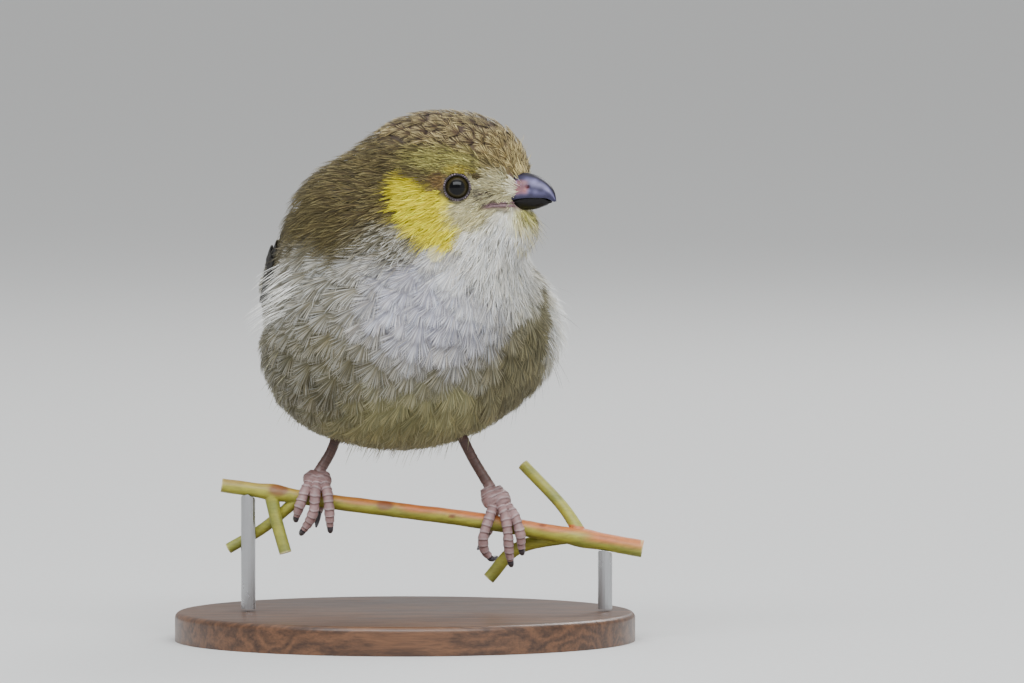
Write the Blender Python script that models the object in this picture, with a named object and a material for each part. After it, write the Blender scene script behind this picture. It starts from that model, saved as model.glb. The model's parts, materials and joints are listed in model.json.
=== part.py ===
"""A still, life-size model of a forty-spotted pardalote gripping a cut twig on a plain display stand.

Lengths are in millimetres in the tables and become metres when a mesh is made. +Z is up, the
floor is at 0, the twig runs along X, and the bird looks towards -Y with its head turned to +X.
"""

import math

import bmesh
import bpy
import numpy as np
from mathutils import Matrix, Vector

MM = 0.001
GAP = 0.3

# Stand and twig
BASE_RADIUS = 32.0
BASE_THICKNESS = 4.0
BASE_BEVEL = 0.8
ROD_RADIUS = 1.0
ROD_X = (-21.8, 27.8)
ROD_TOP_BELOW = 0.3
PERCH_HEIGHT = 18.0

# Body and head directions, in degrees: 0 looks along -Y, and positive turns towards +X
BODY_YAW = 17.0
HEAD_YAW = 60.0
BODY_CENTRE = (0.3, 4.0, 43.0)
HEAD_CENTRE = (6.1, -8.6, 65.0)

# Eyes, in the head's own forward, right and up
EYE_RADIUS = 2.05
EYE_PLACE = (5.05, 6.2, -1.6)
EYE_AIM = (0.47, 0.87, 0.06)
LID_RING_RADIUS = 1.88
LID_RING_OUT = 1.60
LID_THICKNESS = 0.5

# Bill, in the head's own forward and up
BILL_ROOT = 9.2
BILL_TIP = 17.1
BILL_HALF_WIDTH = 2.2

# Legs and feet
TARSUS_RADIUS = 0.70
TOE_RADIUS = 0.66
CLAW_RADIUS = 0.36

# Tail: a stack of feathers, the middle pair on top
TAIL_LENGTH = 25.0
TAIL_YAW = 9.0
TAIL_DROP_ANGLE = 9.0
TAIL_ROOT = (-30.5, 0.0, -4.0)
TAIL_FEATHER_PAIRS = 6
TAIL_SPREAD = 0.85
TAIL_STEP_DOWN = 0.24
TAIL_STEP_SHORT = 0.35
TAIL_VANE_WIDTH = 4.4
TAIL_VANE_START = 1.5
VANE_THICKNESS = 0.5
VANE_CROWN = 0.12

COLOURS = {
    "olive": (0.26, 0.23, 0.11, 1),
    "pale": (0.55, 0.53, 0.45, 1),
    "wing": (0.03, 0.03, 0.03, 1),
    "bill": (0.05, 0.05, 0.08, 1),
    "eye": (0.01, 0.01, 0.01, 1),
    "leg": (0.30, 0.17, 0.15, 1),
    "claw": (0.04, 0.04, 0.045, 1),
    "twig": (0.55, 0.42, 0.10, 1),
    "wood": (0.12, 0.06, 0.03, 1),
    "steel": (0.45, 0.45, 0.46, 1),
}


# Frames and shared shapes


class Frame:
    """A place with forward, right and up axes. Local points are (forward, right, up)."""

    def __init__(self, origin, yaw, pitch=0.0):
        turn, rise = math.radians(yaw), math.radians(pitch)
        flat = np.array([math.sin(turn), -math.cos(turn), 0.0])
        up = np.array([0.0, 0.0, 1.0])
        self.forward = flat * math.cos(rise) + up * math.sin(rise)
        self.right = np.cross(flat, up)
        self.up = np.cross(self.right, self.forward)
        self.origin = np.array(origin, float)
        self.axes = np.array([self.forward, self.right, self.up])

    def to_world(self, local):
        return self.origin + np.asarray(local, float) @ self.axes

    def to_local(self, points):
        return (np.asarray(points, float) - self.origin) @ self.axes.T

    def direction(self, local):
        return np.asarray(local, float) @ self.axes


BODY = Frame(BODY_CENTRE, BODY_YAW)
HEAD = Frame(HEAD_CENTRE, HEAD_YAW)
TAIL = Frame(BODY.to_world(TAIL_ROOT), TAIL_YAW, TAIL_DROP_ANGLE)

# Each mass of the fluffed body: its frame, centre and half sizes (forward, right, up), its pitch
# in degrees, and how softly it joins the ones before it.
MASSES = (
    ("back", BODY, (-5.0, 0.6, 0.5), (21.0, 15.2, 14.5), 14.0, 0.0),
    ("breast", BODY, (2.8, -0.2, 0.2), (17.8, 20.7, 14.0), 10.0, 5.0),
    ("belly", BODY, (0.8, 1.9, -5.2), (15.6, 17.9, 11.4), 4.0, 4.0),
    ("mantle", BODY, (-1.0, 1.6, 7.5), (15.0, 15.6, 11.0), 20.0, 6.0),
    ("rump", BODY, (-20.0, 0.0, -2.5), (13.0, 8.5, 6.5), 12.0, 7.0),
    ("tail_coverts", BODY, (-29.0, 0.0, -4.2), (11.0, 5.4, 3.4), 10.0, 3.0),
    ("hindneck", BODY, (3.0, 5.0, 14.4), (12.0, 13.4, 10.8), 25.0, 6.0),
    ("throat", HEAD, (1.8, 0.0, -9.5), (9.0, 9.2, 10.0), 0.0, 4.0),
    ("cranium", HEAD, (-2.2, 0.0, 0.4), (12.4, 8.9, 8.7), 6.0, 4.0),
    ("brow", HEAD, (4.8, 0.0, 1.2), (7.0, 6.8, 6.4), -20.0, 2.5),
    ("face", HEAD, (6.8, 0.0, -2.6), (5.2, 5.2, 4.4), -8.0, 2.5),
    ("chin", HEAD, (8.4, 0.0, -7.4), (5.4, 4.6, 4.4), 0.0, 3.0),
)
# Rays that find the outline start between these two places, low ones for rays that go down, and
# slide towards the tail for rays that go back.
LOW_HUB = (0.5, 1.5, 44.0)
HIGH_HUB = (5.5, -8.0, 63.0)
TAILWARD_SLIDE = 17.0


def ellipsoid_distance(points, frame, centre, half_sizes, pitch):
    """About the distance of points from an ellipsoid, negative inside it."""
    rise = math.radians(pitch)
    local = frame.to_local(points) - np.array(centre)
    turned = np.stack(
        [
            local[:, 0] * math.cos(rise) + local[:, 2] * math.sin(rise),
            local[:, 1],
            local[:, 2] * math.cos(rise) - local[:, 0] * math.sin(rise),
        ],
        axis=1,
    )
    sizes = np.array(half_sizes)
    reach = np.linalg.norm(turned / sizes, axis=1)
    slope = np.maximum(np.linalg.norm(turned / sizes**2, axis=1), 1e-9)
    return reach * (reach - 1) / slope


def body_distance(points):
    """About the distance of points from the fluffed outline of head, neck and torso."""
    total = None
    for _, frame, centre, half_sizes, pitch, blend in MASSES:
        new = ellipsoid_distance(points, frame, centre, half_sizes, pitch)
        if total is None:
            total = new
            continue
        share = np.clip(0.5 + 0.5 * (new - total) / blend, 0, 1)
        total = new * (1 - share) + total * share - blend * share * (1 - share)
    return total


def outline_reach(starts, directions, reach=70.0, steps=40):
    """How far rays that start inside the body run before they leave its outline."""
    inner = np.zeros(len(directions))
    outer = np.full(len(directions), reach)
    for _ in range(steps):
        middle = (inner + outer) / 2
        inside = body_distance(starts + directions * middle[:, None]) < 0
        inner = np.where(inside, middle, inner)
        outer = np.where(inside, outer, middle)
    return inner


def outline_points(directions):
    """Points of the outline in the given directions from the line between the two hubs."""
    low, high = np.array(LOW_HUB), np.array(HIGH_HUB)
    spine = (high - low) / np.linalg.norm(high - low)
    share = (1 + directions @ spine) / 2
    back = np.clip(directions @ -BODY.forward, 0, 1) ** 2
    starts = low + (high - low) * share[:, None] - BODY.forward * TAILWARD_SLIDE * back[:, None]
    return starts + directions * outline_reach(starts, directions)[:, None]


# Making objects


def clear_scene():
    for old in list(bpy.data.objects):
        bpy.data.objects.remove(old)


def make_collection(name):
    made = bpy.data.collections.new(name)
    bpy.context.scene.collection.children.link(made)
    return made


def make_material(name, roughness=0.6, metallic=0.0):
    material = bpy.data.materials.new(name)
    material.use_nodes = True
    shader = material.node_tree.nodes["Principled BSDF"]
    shader.inputs["Base Color"].default_value = COLOURS[name]
    shader.inputs["Roughness"].default_value = roughness
    shader.inputs["Metallic"].default_value = metallic
    material.diffuse_color = COLOURS[name]
    return material


def object_from(mesh, name, collection, material=None, smooth_angle=40.0):
    made = bpy.data.objects.new(name, mesh)
    collection.objects.link(made)
    if material is not None:
        mesh.materials.clear()
        mesh.materials.append(material)
    mesh.shade_smooth()
    mesh.set_sharp_from_angle(angle=math.radians(smooth_angle))
    return made


def mesh_from_bmesh(shape, name):
    bmesh.ops.triangulate(shape, faces=shape.faces[:])
    bmesh.ops.recalc_face_normals(shape, faces=shape.faces[:])
    mesh = bpy.data.meshes.new(name)
    shape.to_mesh(mesh)
    shape.free()
    return mesh


def scaled_vectors(points):
    return [Vector(point) * MM for point in np.asarray(points, float)]


def loft(rings, name):
    """A closed skin over rings of equal point count, in millimetres, capped at both ends."""
    shape = bmesh.new()
    made = [[shape.verts.new(point) for point in scaled_vectors(ring)] for ring in rings]
    count = len(made[0])
    for near, far in zip(made, made[1:]):
        for index in range(count):
            follow = (index + 1) % count
            shape.faces.new((near[index], near[follow], far[follow], far[index]))
    shape.faces.new(made[0][::-1])
    shape.faces.new(made[-1])
    return mesh_from_bmesh(shape, name)


def tube(points, radii, name, sides_resolution=2):
    """A round bar along a smooth path, with a radius at each point, as a closed mesh."""
    curve = bpy.data.curves.new(name, "CURVE")
    curve.dimensions = "3D"
    curve.bevel_depth = MM
    curve.bevel_resolution = sides_resolution
    curve.use_fill_caps = True
    spline = curve.splines.new("POLY")
    spline.points.add(len(points) - 1)
    for control, place, radius in zip(spline.points, scaled_vectors(points), radii):
        control.co = (*place, 1)
        control.radius = radius
    holder = bpy.data.objects.new(name, curve)
    bpy.context.scene.collection.objects.link(holder)
    bpy.context.view_layer.update()
    graph = bpy.context.evaluated_depsgraph_get()
    mesh = bpy.data.meshes.new_from_object(holder.evaluated_get(graph))
    bpy.data.objects.remove(holder)
    shape = bmesh.new()
    shape.from_mesh(mesh)
    bpy.data.meshes.remove(mesh)
    bmesh.ops.remove_doubles(shape, verts=shape.verts[:], dist=1e-6)
    return mesh_from_bmesh(shape, name)


def smooth_path(points, samples):
    """Evenly spaced places on a Catmull-Rom curve through a few chosen points."""
    given = np.asarray(points, float)
    padded = np.vstack([2 * given[0] - given[1], given, 2 * given[-1] - given[-2]])
    dense = []
    for index in range(len(given) - 1):
        p0, p1, p2, p3 = padded[index : index + 4]
        for t in np.linspace(0, 1, 24, endpoint=False):
            dense.append(
                0.5
                * (
                    2 * p1
                    + (p2 - p0) * t
                    + (2 * p0 - 5 * p1 + 4 * p2 - p3) * t**2
                    + (3 * p1 - p0 - 3 * p2 + p3) * t**3
                )
            )
    dense = np.array([*dense, given[-1]])
    along = np.concatenate([[0], np.cumsum(np.linalg.norm(np.diff(dense, axis=0), axis=1))])
    wanted = np.linspace(0, along[-1], samples)
    return np.stack([np.interp(wanted, along, dense[:, k]) for k in range(3)], axis=1)


def ball(centre, radius, name, subdivisions=3):
    shape = bmesh.new()
    bmesh.ops.create_icosphere(shape, subdivisions=subdivisions, radius=radius * MM)
    bmesh.ops.translate(shape, verts=shape.verts[:], vec=Vector(centre) * MM)
    return mesh_from_bmesh(shape, name)


def keep_largest_shell(mesh):
    """Drops loose scraps and the walls of sealed hollows, and keeps the surface with most faces."""
    shape = bmesh.new()
    shape.from_mesh(mesh)
    left = set(shape.faces)
    shells = []
    while left:
        stack = [left.pop()]
        shell = list(stack)
        while stack:
            for edge in stack.pop().edges:
                for face in edge.link_faces:
                    if face in left:
                        left.remove(face)
                        stack.append(face)
                        shell.append(face)
        shells.append(shell)
    shells.sort(key=len)
    for shell in shells[:-1]:
        bmesh.ops.delete(shape, geom=shell, context="FACES")
    bmesh.ops.delete(shape, geom=[v for v in shape.verts if not v.link_faces], context="VERTS")
    bmesh.ops.triangulate(shape, faces=shape.faces[:])
    mesh.clear_geometry()
    shape.to_mesh(mesh)
    shape.free()


def boolean(target_mesh, other_meshes, operation, name, solver="EXACT"):
    """The target joined to, or cut by, closed meshes in one Boolean, applied, as a new mesh."""
    tools = make_collection(name + "_tools")
    for index, mesh in enumerate(other_meshes):
        tools.objects.link(bpy.data.objects.new(f"{name}_tool_{index}", mesh))
    holder = bpy.data.objects.new(name + "_holder", target_mesh)
    bpy.context.scene.collection.objects.link(holder)
    modifier = holder.modifiers.new("join", "BOOLEAN")
    modifier.operation = operation
    modifier.solver = solver
    modifier.operand_type = "COLLECTION"
    modifier.collection = tools
    bpy.context.view_layer.update()
    graph = bpy.context.evaluated_depsgraph_get()
    result = bpy.data.meshes.new_from_object(holder.evaluated_get(graph))
    result.name = name
    for item in [holder, *tools.objects]:
        bpy.data.objects.remove(item)
    bpy.data.collections.remove(tools)
    keep_largest_shell(result)
    return result


# The fluffed body, made whole and parted by thin cuts

BODY_SEGMENTS = 44
BODY_RINGS = 30
HEAD_CUT = ((6.0, -6.0, 58.2), (0.36, -0.30, 0.88))
NECK_CUT = ((4.0, -4.0, 53.0), (0.22, -0.24, 0.94))


def whole_body():
    shape = bmesh.new()
    bmesh.ops.create_uvsphere(shape, u_segments=BODY_SEGMENTS, v_segments=BODY_RINGS, radius=1.0)
    spine = Vector(HIGH_HUB) - Vector(LOW_HUB)
    turn = Vector((0, 0, 1)).rotation_difference(spine).to_matrix()
    bmesh.ops.rotate(shape, verts=shape.verts[:], matrix=turn)
    directions = np.array([vert.co[:] for vert in shape.verts])
    directions /= np.linalg.norm(directions, axis=1)[:, None]
    for vert, place in zip(shape.verts, scaled_vectors(outline_points(directions))):
        vert.co = place
    return shape


def cut_away(shape, place, normal, side):
    """Cuts a closed shape at a plane, keeps the part on the side the normal times side points
    to, half a gap clear of the plane, and closes it."""
    direction = Vector(normal).normalized()
    start = (Vector(place) + direction * side * GAP / 2) * MM
    found = bmesh.ops.bisect_plane(
        shape,
        geom=shape.verts[:] + shape.edges[:] + shape.faces[:],
        dist=1e-8,
        plane_co=start,
        plane_no=direction * side,
        clear_inner=True,
    )
    rim = [item for item in found["geom_cut"] if isinstance(item, bmesh.types.BMEdge)]
    bmesh.ops.holes_fill(shape, edges=rim)


def body_part(name):
    """Head, neck, torso or the root of the tail: the whole body with the others cut away."""
    shape = whole_body()
    if name == "head":
        cut_away(shape, *HEAD_CUT, side=1)
    if name == "neck":
        cut_away(shape, *HEAD_CUT, side=-1)
        cut_away(shape, *NECK_CUT, side=1)
    if name == "torso":
        cut_away(shape, *NECK_CUT, side=-1)
        cut_away(shape, TAIL.origin, TAIL.forward, side=1)
    if name == "tail":
        cut_away(shape, TAIL.origin, TAIL.forward, side=-1)
    return mesh_from_bmesh(shape, name)


# Eyes and lids


def eye_frame(side):
    """The eye's centre and its outward aim in world space; side is 1 for the right eye."""
    forward, outward, up = EYE_PLACE
    centre = HEAD.to_world((forward, outward * side, up))
    aim = HEAD.direction((EYE_AIM[0], EYE_AIM[1] * side, EYE_AIM[2]))
    return centre, aim / np.linalg.norm(aim)


def lid_ring(side):
    centre, aim = eye_frame(side)
    turn = Vector((0, 0, 1)).rotation_difference(Vector(aim)).to_matrix().to_4x4()
    place = Matrix.Translation(Vector(centre + aim * LID_RING_OUT) * MM)
    shape = bmesh.new()
    bmesh.ops.create_circle(shape, segments=6, radius=LID_THICKNESS / 2 * MM)
    bmesh.ops.rotate(shape, verts=shape.verts[:], matrix=Matrix.Rotation(math.pi / 2, 3, "X"))
    bmesh.ops.translate(shape, verts=shape.verts[:], vec=(LID_RING_RADIUS * MM, 0, 0))
    bmesh.ops.spin(
        shape,
        geom=shape.verts[:] + shape.edges[:],
        axis=(0, 0, 1),
        cent=(0, 0, 0),
        steps=20,
        angle=math.tau,
        use_merge=True,
    )
    bmesh.ops.remove_doubles(shape, verts=shape.verts[:], dist=1e-7)
    bmesh.ops.transform(shape, matrix=place @ turn, verts=shape.verts[:])
    return mesh_from_bmesh(shape, "lid")


# Line of the mouth behind the bill, in the head's own forward and up
MOUTH_LINE = ((11.3, -3.65), (10.5, -3.7), (9.6, -3.85), (8.9, -4.15))
MOUTH_RADIUS = 0.27


def mouth_groove(side):
    """A shallow groove in the face, from the bill's root back to the corner of the mouth."""
    starts = np.array([HEAD.to_world((forward, 0.0, up)) for forward, up in MOUTH_LINE])
    outward = np.tile(HEAD.right * side, (len(starts), 1))
    places = starts + outward * outline_reach(starts, outward)[:, None]
    return tube(places, [MOUTH_RADIUS] * len(places), "mouth", sides_resolution=1)


# Bill

# Share of the way from root to tip, height of the ridge, of the cutting edge and of the lower
# outline, and share of the full width, all in the head's own up direction.
BILL_STATIONS = (
    (0.00, 0.25, -3.60, -4.75, 1.00),
    (0.22, 0.42, -3.35, -4.85, 1.00),
    (0.40, 0.40, -3.05, -4.80, 0.92),
    (0.58, 0.12, -2.92, -4.60, 0.79),
    (0.74, -0.42, -2.95, -4.20, 0.62),
    (0.87, -1.20, -3.05, -3.85, 0.44),
    (0.95, -2.05, -3.35, 0.0, 0.28),
    (1.00, -3.10, -3.75, 0.0, 0.10),
)
LOWER_BILL_END = 0.91
LOWER_BILL_TIP_UP = -3.55


def bill_place(share, side, up):
    return HEAD.to_world((BILL_ROOT + share * (BILL_TIP - BILL_ROOT), side, up))


def upper_bill(swell=0.0):
    """The upper half of the bill. Swell grows it for the pocket that its root sits in."""
    rings = []
    for share, ridge, edge, _, width in BILL_STATIONS:
        half = BILL_HALF_WIDTH * width + swell
        top, bottom = ridge + swell, edge - swell
        height = top - bottom
        outline = [
            (0.0, top),
            (0.42 * half, top - 0.07 * height),
            (0.80 * half, top - 0.36 * height),
            (1.00 * half, top - 0.72 * height),
            (0.97 * half, bottom),
            (0.0, bottom + 0.06 * height),
        ]
        mirrored = [(-across, up) for across, up in outline[4:0:-1]]
        back = share if share > 0 or not swell else -swell / (BILL_TIP - BILL_ROOT)
        rings.append([bill_place(back, across, up) for across, up in outline + mirrored])
    return loft(rings, "upper_bill")


def lower_bill(swell=0.0):
    rings = []
    for share, _, edge, floor, width in BILL_STATIONS[:6]:
        half = BILL_HALF_WIDTH * width * 0.9 + swell
        top, bottom = edge - GAP + swell, floor - swell
        height = top - bottom
        outline = [
            (0.0, top),
            (0.95 * half, top),
            (0.98 * half, top - 0.25 * height),
            (0.70 * half, top - 0.75 * height),
            (0.30 * half, bottom),
        ]
        mirrored = [(-across, up) for across, up in outline[:0:-1]]
        back = share if share > 0 or not swell else -swell / (BILL_TIP - BILL_ROOT)
        rings.append([bill_place(back, across, up) for across, up in outline + mirrored])
    tip_half = [(0.0, 0.12), (0.3, 0.12), (0.3, 0.02), (0.2, -0.08), (0.1, -0.12)]
    tip = tip_half + [(-across, up) for across, up in tip_half[:0:-1]]
    rings.append([bill_place(LOWER_BILL_END, across, LOWER_BILL_TIP_UP + up) for across, up in tip])
    return loft(rings, "lower_bill")


def nostril(side):
    """A small pit on each side of the bill's root."""
    place = bill_place(0.40, side * BILL_HALF_WIDTH * 0.86, -1.35)
    return ball(place, 0.36, "nostril", subdivisions=2)


# Twig: points along it as (X, height above the middle of the twig), from the photo

TWIG_LINE = ((-25.5, 3.55), (-18.2, 2.5), (-8.4, 1.0), (8.0, -1.05), (21.1, -3.2), (33.0, -5.3))
TWIG_RADIUS_LEFT = 0.95
TWIG_RADIUS_RIGHT = 1.20
TWIG_KNOTS = (-18.4, 24.8)
TWIG_SAMPLES = 18
# Cut side stalks: where each leaves the twig, a place on its way and its cut end, and its radius
STALKS = (
    (((-18.6, 0.0, 20.4), (-17.9, -0.6, 16.8), (-16.6, -1.2, 12.2)), 0.86),
    (((-14.6, 0.0, 19.9), (-19.6, 1.4, 15.6), (-24.6, 2.4, 12.6)), 0.74),
    (((24.6, 0.0, 14.4), (21.8, 1.8, 18.6), (16.4, 4.4, 24.2)), 0.80),
    (((22.5, 0.2, 14.5), (15.6, 2.2, 12.6), (11.6, 2.6, 8.4)), 0.88),
)


def twig_line(samples):
    return smooth_path([(x, 0.0, PERCH_HEIGHT + rise) for x, rise in TWIG_LINE], samples)


def twig_centre(x):
    """The middle of the twig at X, in world space."""
    line = twig_line(60)
    return np.array([x, 0.0, np.interp(x, line[:, 0], line[:, 2])])


def twig_stem(swell=0.0):
    line = twig_line(TWIG_SAMPLES)
    radii = np.linspace(TWIG_RADIUS_LEFT, TWIG_RADIUS_RIGHT, len(line)) + swell
    for knot in TWIG_KNOTS:
        radii = radii + 0.2 * np.exp(-(((line[:, 0] - knot) / 1.6) ** 2))
    return tube(line, radii, "twig")


def twig():
    stalks = []
    for points, radius in STALKS:
        path = smooth_path(points, 7)
        taper = radius * (1.0 + 0.3 * np.exp(-np.linspace(0, 6, len(path))))
        stalks.append(tube(path, taper, "stalk", sides_resolution=1))
    return boolean(twig_stem(), stalks, "UNION", "perch_twig")


# Legs and feet. Every place on a foot is measured from the middle of the twig at its grip: along
# the twig, out towards the front, and up.

FEET = {
    "right": {
        "grip": -12.15,
        "leg": ((3.4, -1.2, 11.5), (2.0, -0.9, 7.0), (0.35, -0.4, 4.1)),
        "instep": ((0.30, -0.35, 3.8), (0.0, 0.0, 2.9), (-0.1, 0.5, 2.35)),
        "toes": {
            "outer": ((-0.9, 0.2, 2.6), (-1.7, 1.6, 1.35), (-2.4, 2.1, -0.6), (-2.9, 1.5, -2.2)),
            "middle": (
                (0.0, 0.4, 2.6),
                (-0.3, 1.9, 0.9),
                (-0.5, 2.15, -1.3),
                (-1.1, 1.75, -2.9),
                (-1.9, 1.2, -4.1),
            ),
            "inner": ((0.9, 0.3, 2.5), (1.4, 1.85, 1.0), (1.65, 2.15, -1.2), (1.75, 1.55, -3.6)),
            "hind": ((0.1, -0.4, 2.7), (0.4, -1.95, 1.2), (0.3, -2.1, -0.6), (0.1, -1.35, -1.9)),
        },
        "claws": {
            "outer": (0.15, -1.25, -0.2),
            "middle": (-0.35, -1.0, -0.75),
            "inner": (0.0, -1.1, -0.9),
            "hind": (-0.2, 1.2, -1.3),
        },
    },
    "left": {
        "grip": 13.2,
        "leg": ((-6.3, -1.0, 14.2), (-3.9, -0.8, 9.3), (-1.5, -0.35, 5.3)),
        "instep": ((-1.35, -0.3, 5.0), (-0.7, 0.0, 3.7), (0.0, 0.5, 2.6)),
        "toes": {
            "outer": ((0.8, 0.3, 2.7), (2.0, 1.75, 1.2), (2.75, 2.15, -1.0), (3.0, 1.55, -3.3)),
            "middle": (
                (0.1, 0.5, 2.7),
                (0.8, 2.0, 0.9),
                (1.1, 2.25, -1.4),
                (1.2, 1.9, -3.2),
                (1.45, 1.3, -5.0),
            ),
            "inner": (
                (-0.9, 0.4, 2.7),
                (-1.5, 1.9, 0.9),
                (-2.3, 2.2, -1.5),
                (-2.2, 1.65, -3.4),
                (-1.5, 1.0, -4.5),
            ),
            "hind": ((-0.3, -0.3, 2.9), (-0.9, -1.95, 1.3), (-1.5, -2.15, -0.6), (-2.1, -1.45, -1.95)),
        },
        "claws": {
            "outer": (0.1, -1.2, -0.7),
            "middle": (0.1, -1.2, -0.7),
            "inner": (1.2, -1.0, 0.75),
            "hind": (-0.7, 1.2, -0.9),
        },
    },
}
# Radii along the instep, which is two bars side by side, and swells along a toe, leg and claw
INSTEP_RADII = (0.85, 1.05, 1.28, 1.28, 0.95)
INSTEP_SPREAD = 0.45
TOE_SWELLS = (1.15, 1.0, 1.05, 0.92, 1.02, 0.9, 0.68)
LEG_SWELLS = (1.1, 1.0, 0.96, 0.94, 0.96, 1.05, 1.25)
CLAW_SWELLS = (1.0, 0.98, 0.85, 0.65, 0.42, 0.18)
CLAW_LENGTHS = {"outer": 2.0, "middle": 2.3, "inner": 2.1, "hind": 2.8}


def foot_points(side, points):
    """Places on a foot, from its own measures to world space."""
    centre = twig_centre(FEET[side]["grip"])
    return [centre + np.array([along, -out, up]) for along, out, up in points]


def leg_path(side, reach_in=0.0):
    """Points down the leg. Reach carries its top further into the body."""
    path = smooth_path(foot_points(side, FEET[side]["leg"]), len(LEG_SWELLS))
    climb = (path[0] - path[1]) / np.linalg.norm(path[0] - path[1])
    return np.vstack([path[0] + climb * reach_in, path[1:]])


def leg(side):
    return tube(leg_path(side), TARSUS_RADIUS * np.array(LEG_SWELLS), "leg")


def leg_pocket(side):
    """What is cut from the belly round the top of the leg."""
    radius = TARSUS_RADIUS * LEG_SWELLS[0] + GAP
    return tube(leg_path(side, GAP), [radius] * len(LEG_SWELLS), "pocket")


def toe_path(side, toe):
    return smooth_path(foot_points(side, FEET[side]["toes"][toe]), len(TOE_SWELLS))


def foot(side):
    radii = TOE_RADIUS * np.array(TOE_SWELLS)
    toes = [tube(toe_path(side, toe), radii, "toe") for toe in FEET[side]["toes"]]
    instep = smooth_path(foot_points(side, FEET[side]["instep"]), len(INSTEP_RADII))
    near = tube(instep - (INSTEP_SPREAD, 0, 0), INSTEP_RADII, "instep")
    far = tube(instep + (INSTEP_SPREAD, 0, 0), INSTEP_RADII, "instep")
    return boolean(near, [far, *toes], "UNION", "foot_" + side)


def claw(side, toe):
    """A tapering hook that starts a gap past the end of its toe and bends towards its tip."""
    path = toe_path(side, toe)
    ahead = (path[-1] - path[-2]) / np.linalg.norm(path[-1] - path[-2])
    along, out, up = FEET[side]["claws"][toe]
    hook = np.array([along, -out, up])
    hook /= np.linalg.norm(hook)
    step = CLAW_LENGTHS[toe] / (len(CLAW_SWELLS) - 1)
    points = [path[-1] + ahead * GAP]
    for share in np.linspace(0, 1, len(CLAW_SWELLS))[1:]:
        heading = ahead * (1 - share) + hook * share
        points.append(points[-1] + heading / np.linalg.norm(heading) * step)
    return tube(points, CLAW_RADIUS * np.array(CLAW_SWELLS), "claw", sides_resolution=1)


# Feathers of wing and tail. A folded wing lies round the body: a place on it is given by how far
# forward it is and by its angle round the body, from straight out to straight up.

# Behind the body the wing follows a narrowing form: how far forward, half width, height.
WING_CARRIER = (
    (-46.0, 2.6, 2.8),
    (-36.0, 5.6, 4.2),
    (-26.0, 9.4, 6.8),
    (-16.0, 13.2, 9.6),
    (-8.0, 13.0, 9.0),
)
WING_LIFT = 0.5
# The smooth body of the wing: how far forward, and the angles of its lower and upper edge, then
# the share of that span and the thickness at each of its stations.
WING_CORE_EDGE = (
    (2.6, 12.0, 27.0),
    (0.0, 4.0, 40.0),
    (-8.0, 4.0, 58.0),
    (-18.0, 12.0, 68.0),
    (-27.0, 28.0, 60.0),
)
WING_CORE_SPANS = (0.62, 0.9, 1.0, 1.0, 1.0, 1.0, 1.0, 0.9, 0.55)
WING_CORE_THICKNESS = (0.55, 0.8, 1.0, 1.0, 1.0, 0.9, 0.9, 0.7, 0.5)
WING_CORE_LEAST = 0.45
WING_CORE_ACROSS = 8
# Tiers of the wing, from the lowest: count, then root and tip of its first and last feather as
# (forward, angle), width, and height over the body at root and tip.
WING_TIERS = (
    ("primary", 5, (-14.0, 16.0), (-42.0, 38.0), (-14.0, 30.0), (-32.0, 56.0), 5.2, (0.6, 0.5)),
    ("secondary", 4, (-9.0, 12.0), (-27.0, 20.0), (-9.0, 38.0), (-28.5, 46.0), 5.8, (0.75, 0.8)),
    ("tertial", 3, (-8.0, 42.0), (-25.5, 50.0), (-8.0, 58.0), (-20.5, 66.0), 6.4, (0.9, 1.0)),
    ("greater covert", 5, (-2.0, 8.0), (-11.5, 9.0), (-4.0, 46.0), (-13.0, 58.0), 4.8, (1.0, 1.1)),
    ("median covert", 5, (0.4, 9.0), (-6.0, 10.0), (-1.0, 34.0), (-7.5, 46.0), 5.2, (1.1, 1.2)),
)
# Heights of a wing feather's section over the line it lies on: its inner face from the lower to
# the upper edge, then its outer face back. The lower edge stands over the feather below it.
WING_VANE_SECTION = (0.30, 0.13, 0.02, 0.50, 0.66, 0.78)
VANE_SHARES = (0.0, 0.32, 0.64, 0.88, 1.0)
WING_VANE_WIDTHS = (0.62, 0.96, 1.0, 0.72, 0.24)
TAIL_VANE_WIDTHS = (0.5, 0.72, 0.96, 0.92, 0.42)


def wing_axis(forward):
    """The line inside the body from which the wing's angles and heights are measured."""
    return np.stack([forward, np.zeros_like(forward), np.minimum(forward, 0.0) * 0.13], axis=1)


def wing_points(side, forward, angle, height):
    """World places on a folded wing. Side is 1 for the right wing."""
    forward, angle, height = np.broadcast_arrays(
        np.asarray(forward, float), np.asarray(angle, float), np.asarray(height, float)
    )
    turn = np.radians(angle)
    axis = wing_axis(forward)
    outward = np.stack([np.zeros_like(turn), np.cos(turn), np.sin(turn)], axis=1)
    starts = BODY.to_world(axis * (1, side, 1))
    directions = outward * (1, side, 1) @ BODY.axes
    on_body = outline_reach(starts, directions, reach=40.0, steps=24)
    carrier = np.array(WING_CARRIER)
    width = np.interp(forward, carrier[:, 0], carrier[:, 1])
    rise = np.interp(forward, carrier[:, 0], carrier[:, 2])
    on_carrier = 1 / np.hypot(np.cos(turn) / width, np.sin(turn) / rise)
    reach = np.maximum(on_body, on_carrier) + height
    return starts + directions * reach[:, None]


def arc_degrees(side, forward, angle, width):
    """The angle round the body that a width in millimetres spans at a place on the wing."""
    place = wing_points(side, [forward], angle, 0.0)[0]
    start = BODY.to_world(wing_axis(np.array([float(forward)])) * (1, side, 1))[0]
    return math.degrees(width / np.linalg.norm(place - start))


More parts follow.
